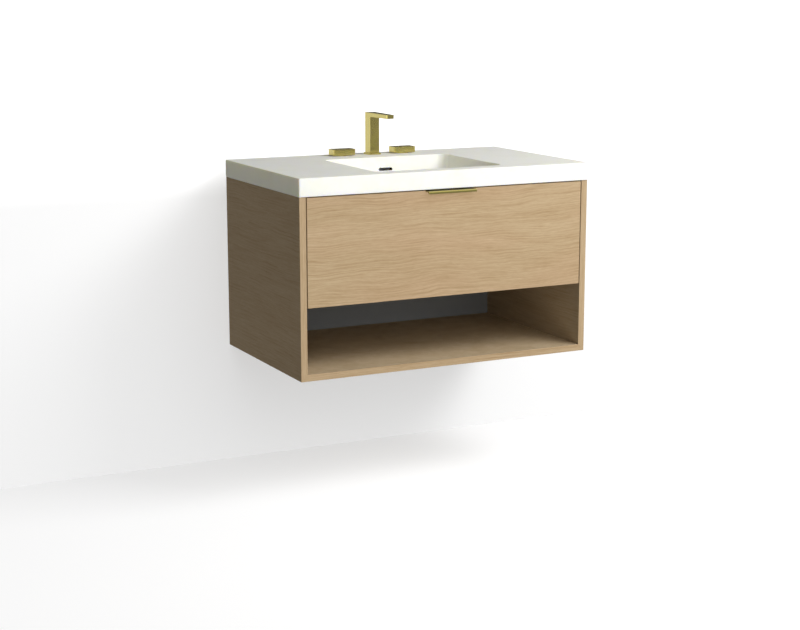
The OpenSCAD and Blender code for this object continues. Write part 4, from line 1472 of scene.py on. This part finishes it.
@dataclass
class Studio:
    """Floor, wall, lights and the camera."""

    floor_z: float = -0.7185
    wall_y: float = 2 * MM
    reach: float = 9.0  # distance from the middle of each to its edges
    floor: Backdrop = Backdrop("floor", 0.598, 0.628)
    wall: Backdrop = Backdrop("wall", 0.358, 0.621)
    eye: tuple[float, float, float] = (-2.16886, -4.55107, 0.69814)
    yaw: float = 26.701  # turn of the camera from +Y towards +X, in degrees
    pitch: float = -11.338  # tilt of the camera, down being negative, in degrees
    lens: float = 73.73
    sensor: float = 36.0
    far: float = 60.0
    even: float = 0.05  # brightness of the even light on matt surfaces
    # The soft lights on matt surfaces
    patches: tuple[SoftLight, ...] = (
        SoftLight(2.08, 9.85, 12.5, 31.3),
        SoftLight(6.4, 39.0, -12.3, -24.7),
        SoftLight(0.7, 8.56, -20.1, 23.9),
        SoftLight(2.0, 14.0, 180.0, -12.0),
    )
    even_gloss: float = 0.14  # brightness of the even light on shiny surfaces
    # The lights on shiny surfaces
    gloss: tuple[GlossLight, ...] = (
        GlossLight(Side.FRONT, -0.4, 0.4, 0.16),
        GlossLight(Side.LEFT, -0.3, 0.3, 0.76),
        GlossLight(Side.LEFT, 0.6, 0.85, 0.64),
        GlossLight(Side.ABOVE, 0.6, 0.85, 0.55),
    )
    key_aim: tuple[float, float, float] = (0.0, -0.3, -0.06)  # point that the key lamp faces
    key_azimuth: float = 46.0  # direction of the key lamp, from -Y towards +X, in degrees
    key_height: float = 40.3  # its angle above the horizon, in degrees
    key_distance: float = 3.36
    key_size: tuple[float, float] = (2.19, 1.34)
    key_power: float = 77.0

    def sheet(self, finish: Backdrop, centre: Vector, tilt: float) -> None:
        """Lay one sheet of the backdrop.

        Args:
            finish: Its surface, which also names it.
            centre: Its middle.
            tilt: Its turn about X from lying level.
        """
        mesh = bmesh.new()
        matrix = Matrix.Translation(centre) @ Matrix.Rotation(tilt, 4, "X")
        bmesh.ops.create_grid(mesh, x_segments=1, y_segments=1, size=self.reach, matrix=matrix)
        sheet = use_up(finish.name, mesh)
        sheet.data.materials.append(finish.make())
        sheet.visible_diffuse = False
        sheet.visible_glossy = False
        sheet.visible_shadow = False

    def key_lamp(self) -> None:
        """Hang the large soft lamp in front, to the right and above."""
        data = bpy.data.lights.new("key", "AREA")
        data.shape = "RECTANGLE"
        data.size, data.size_y = self.key_size
        data.energy = self.key_power
        lamp = link("key", data)
        towards = direction(self.key_azimuth, self.key_height)
        lamp.location = Vector(self.key_aim) + self.key_distance * towards
        lamp.rotation_euler = (-towards).to_track_quat("-Z", "Y").to_euler()
        lamp.visible_glossy = False
        lamp.visible_camera = False

    def sky_light(self) -> None:
        """Fill the world: white for the camera, and lights for matt and for shiny surfaces."""
        world = bpy.data.worlds.new("studio")
        bpy.context.scene.world = world
        world.use_nodes = True
        graph = Graph(world.node_tree)
        looking = graph.node("ShaderNodeTexCoord", output="Generated")
        axes = graph.split(looking)
        seen = graph.node("ShaderNodeLightPath", output="Is Camera Ray")
        glossy = graph.node("ShaderNodeLightPath", output="Is Glossy Ray")
        shine = sum((light.seen_in(axes) for light in self.gloss), self.even_gloss)
        matt = sum((patch.seen_in(graph, looking) for patch in self.patches), self.even)
        strength = seen + (1.0 - seen) * (glossy * shine + (1.0 - glossy) * matt)
        inputs = {"Color": (1.0, 1.0, 1.0, 1.0), "Strength": strength}
        light = graph.node("ShaderNodeBackground", inputs=inputs)
        graph.node("ShaderNodeOutputWorld", inputs={"Surface": light})

    def camera(self) -> None:
        """Set the camera at the photograph's place."""
        data = bpy.data.cameras.new("view")
        data.lens = self.lens
        data.sensor_width = self.sensor
        data.clip_end = self.far
        camera = link("view", data)
        camera.location = self.eye
        tilt = math.pi / 2 + math.radians(self.pitch)
        camera.rotation_euler = (tilt, 0.0, -math.radians(self.yaw))
        bpy.context.scene.camera = camera

    def build(self) -> None:
        """Set up the stage, the light and the camera."""
        bpy.context.scene.view_settings.view_transform = "Standard"
        self.sheet(self.floor, Vector((0.0, 0.0, self.floor_z)), 0.0)
        middle = Vector((0.0, self.wall_y, self.floor_z + self.reach))
        self.sheet(self.wall, middle, math.pi / 2)
        self.sky_light()
        self.key_lamp()
        self.camera()


def main() -> None:
    """Build every sub-assembly."""
    logging.basicConfig(level=logging.INFO, format="%(name)s: %(message)s")
    Studio().build()
    palette = Palette()
    top = CastTop(palette)
    others = [Waste(palette, top), Tap(palette), Carcass(palette), Drawer(palette)]
    for assembly in [top, *others, Runners(palette)]:
        assembly.build()
        LOG.info("%s built", type(assembly).__name__)


if __name__ == "__main__":
    main()
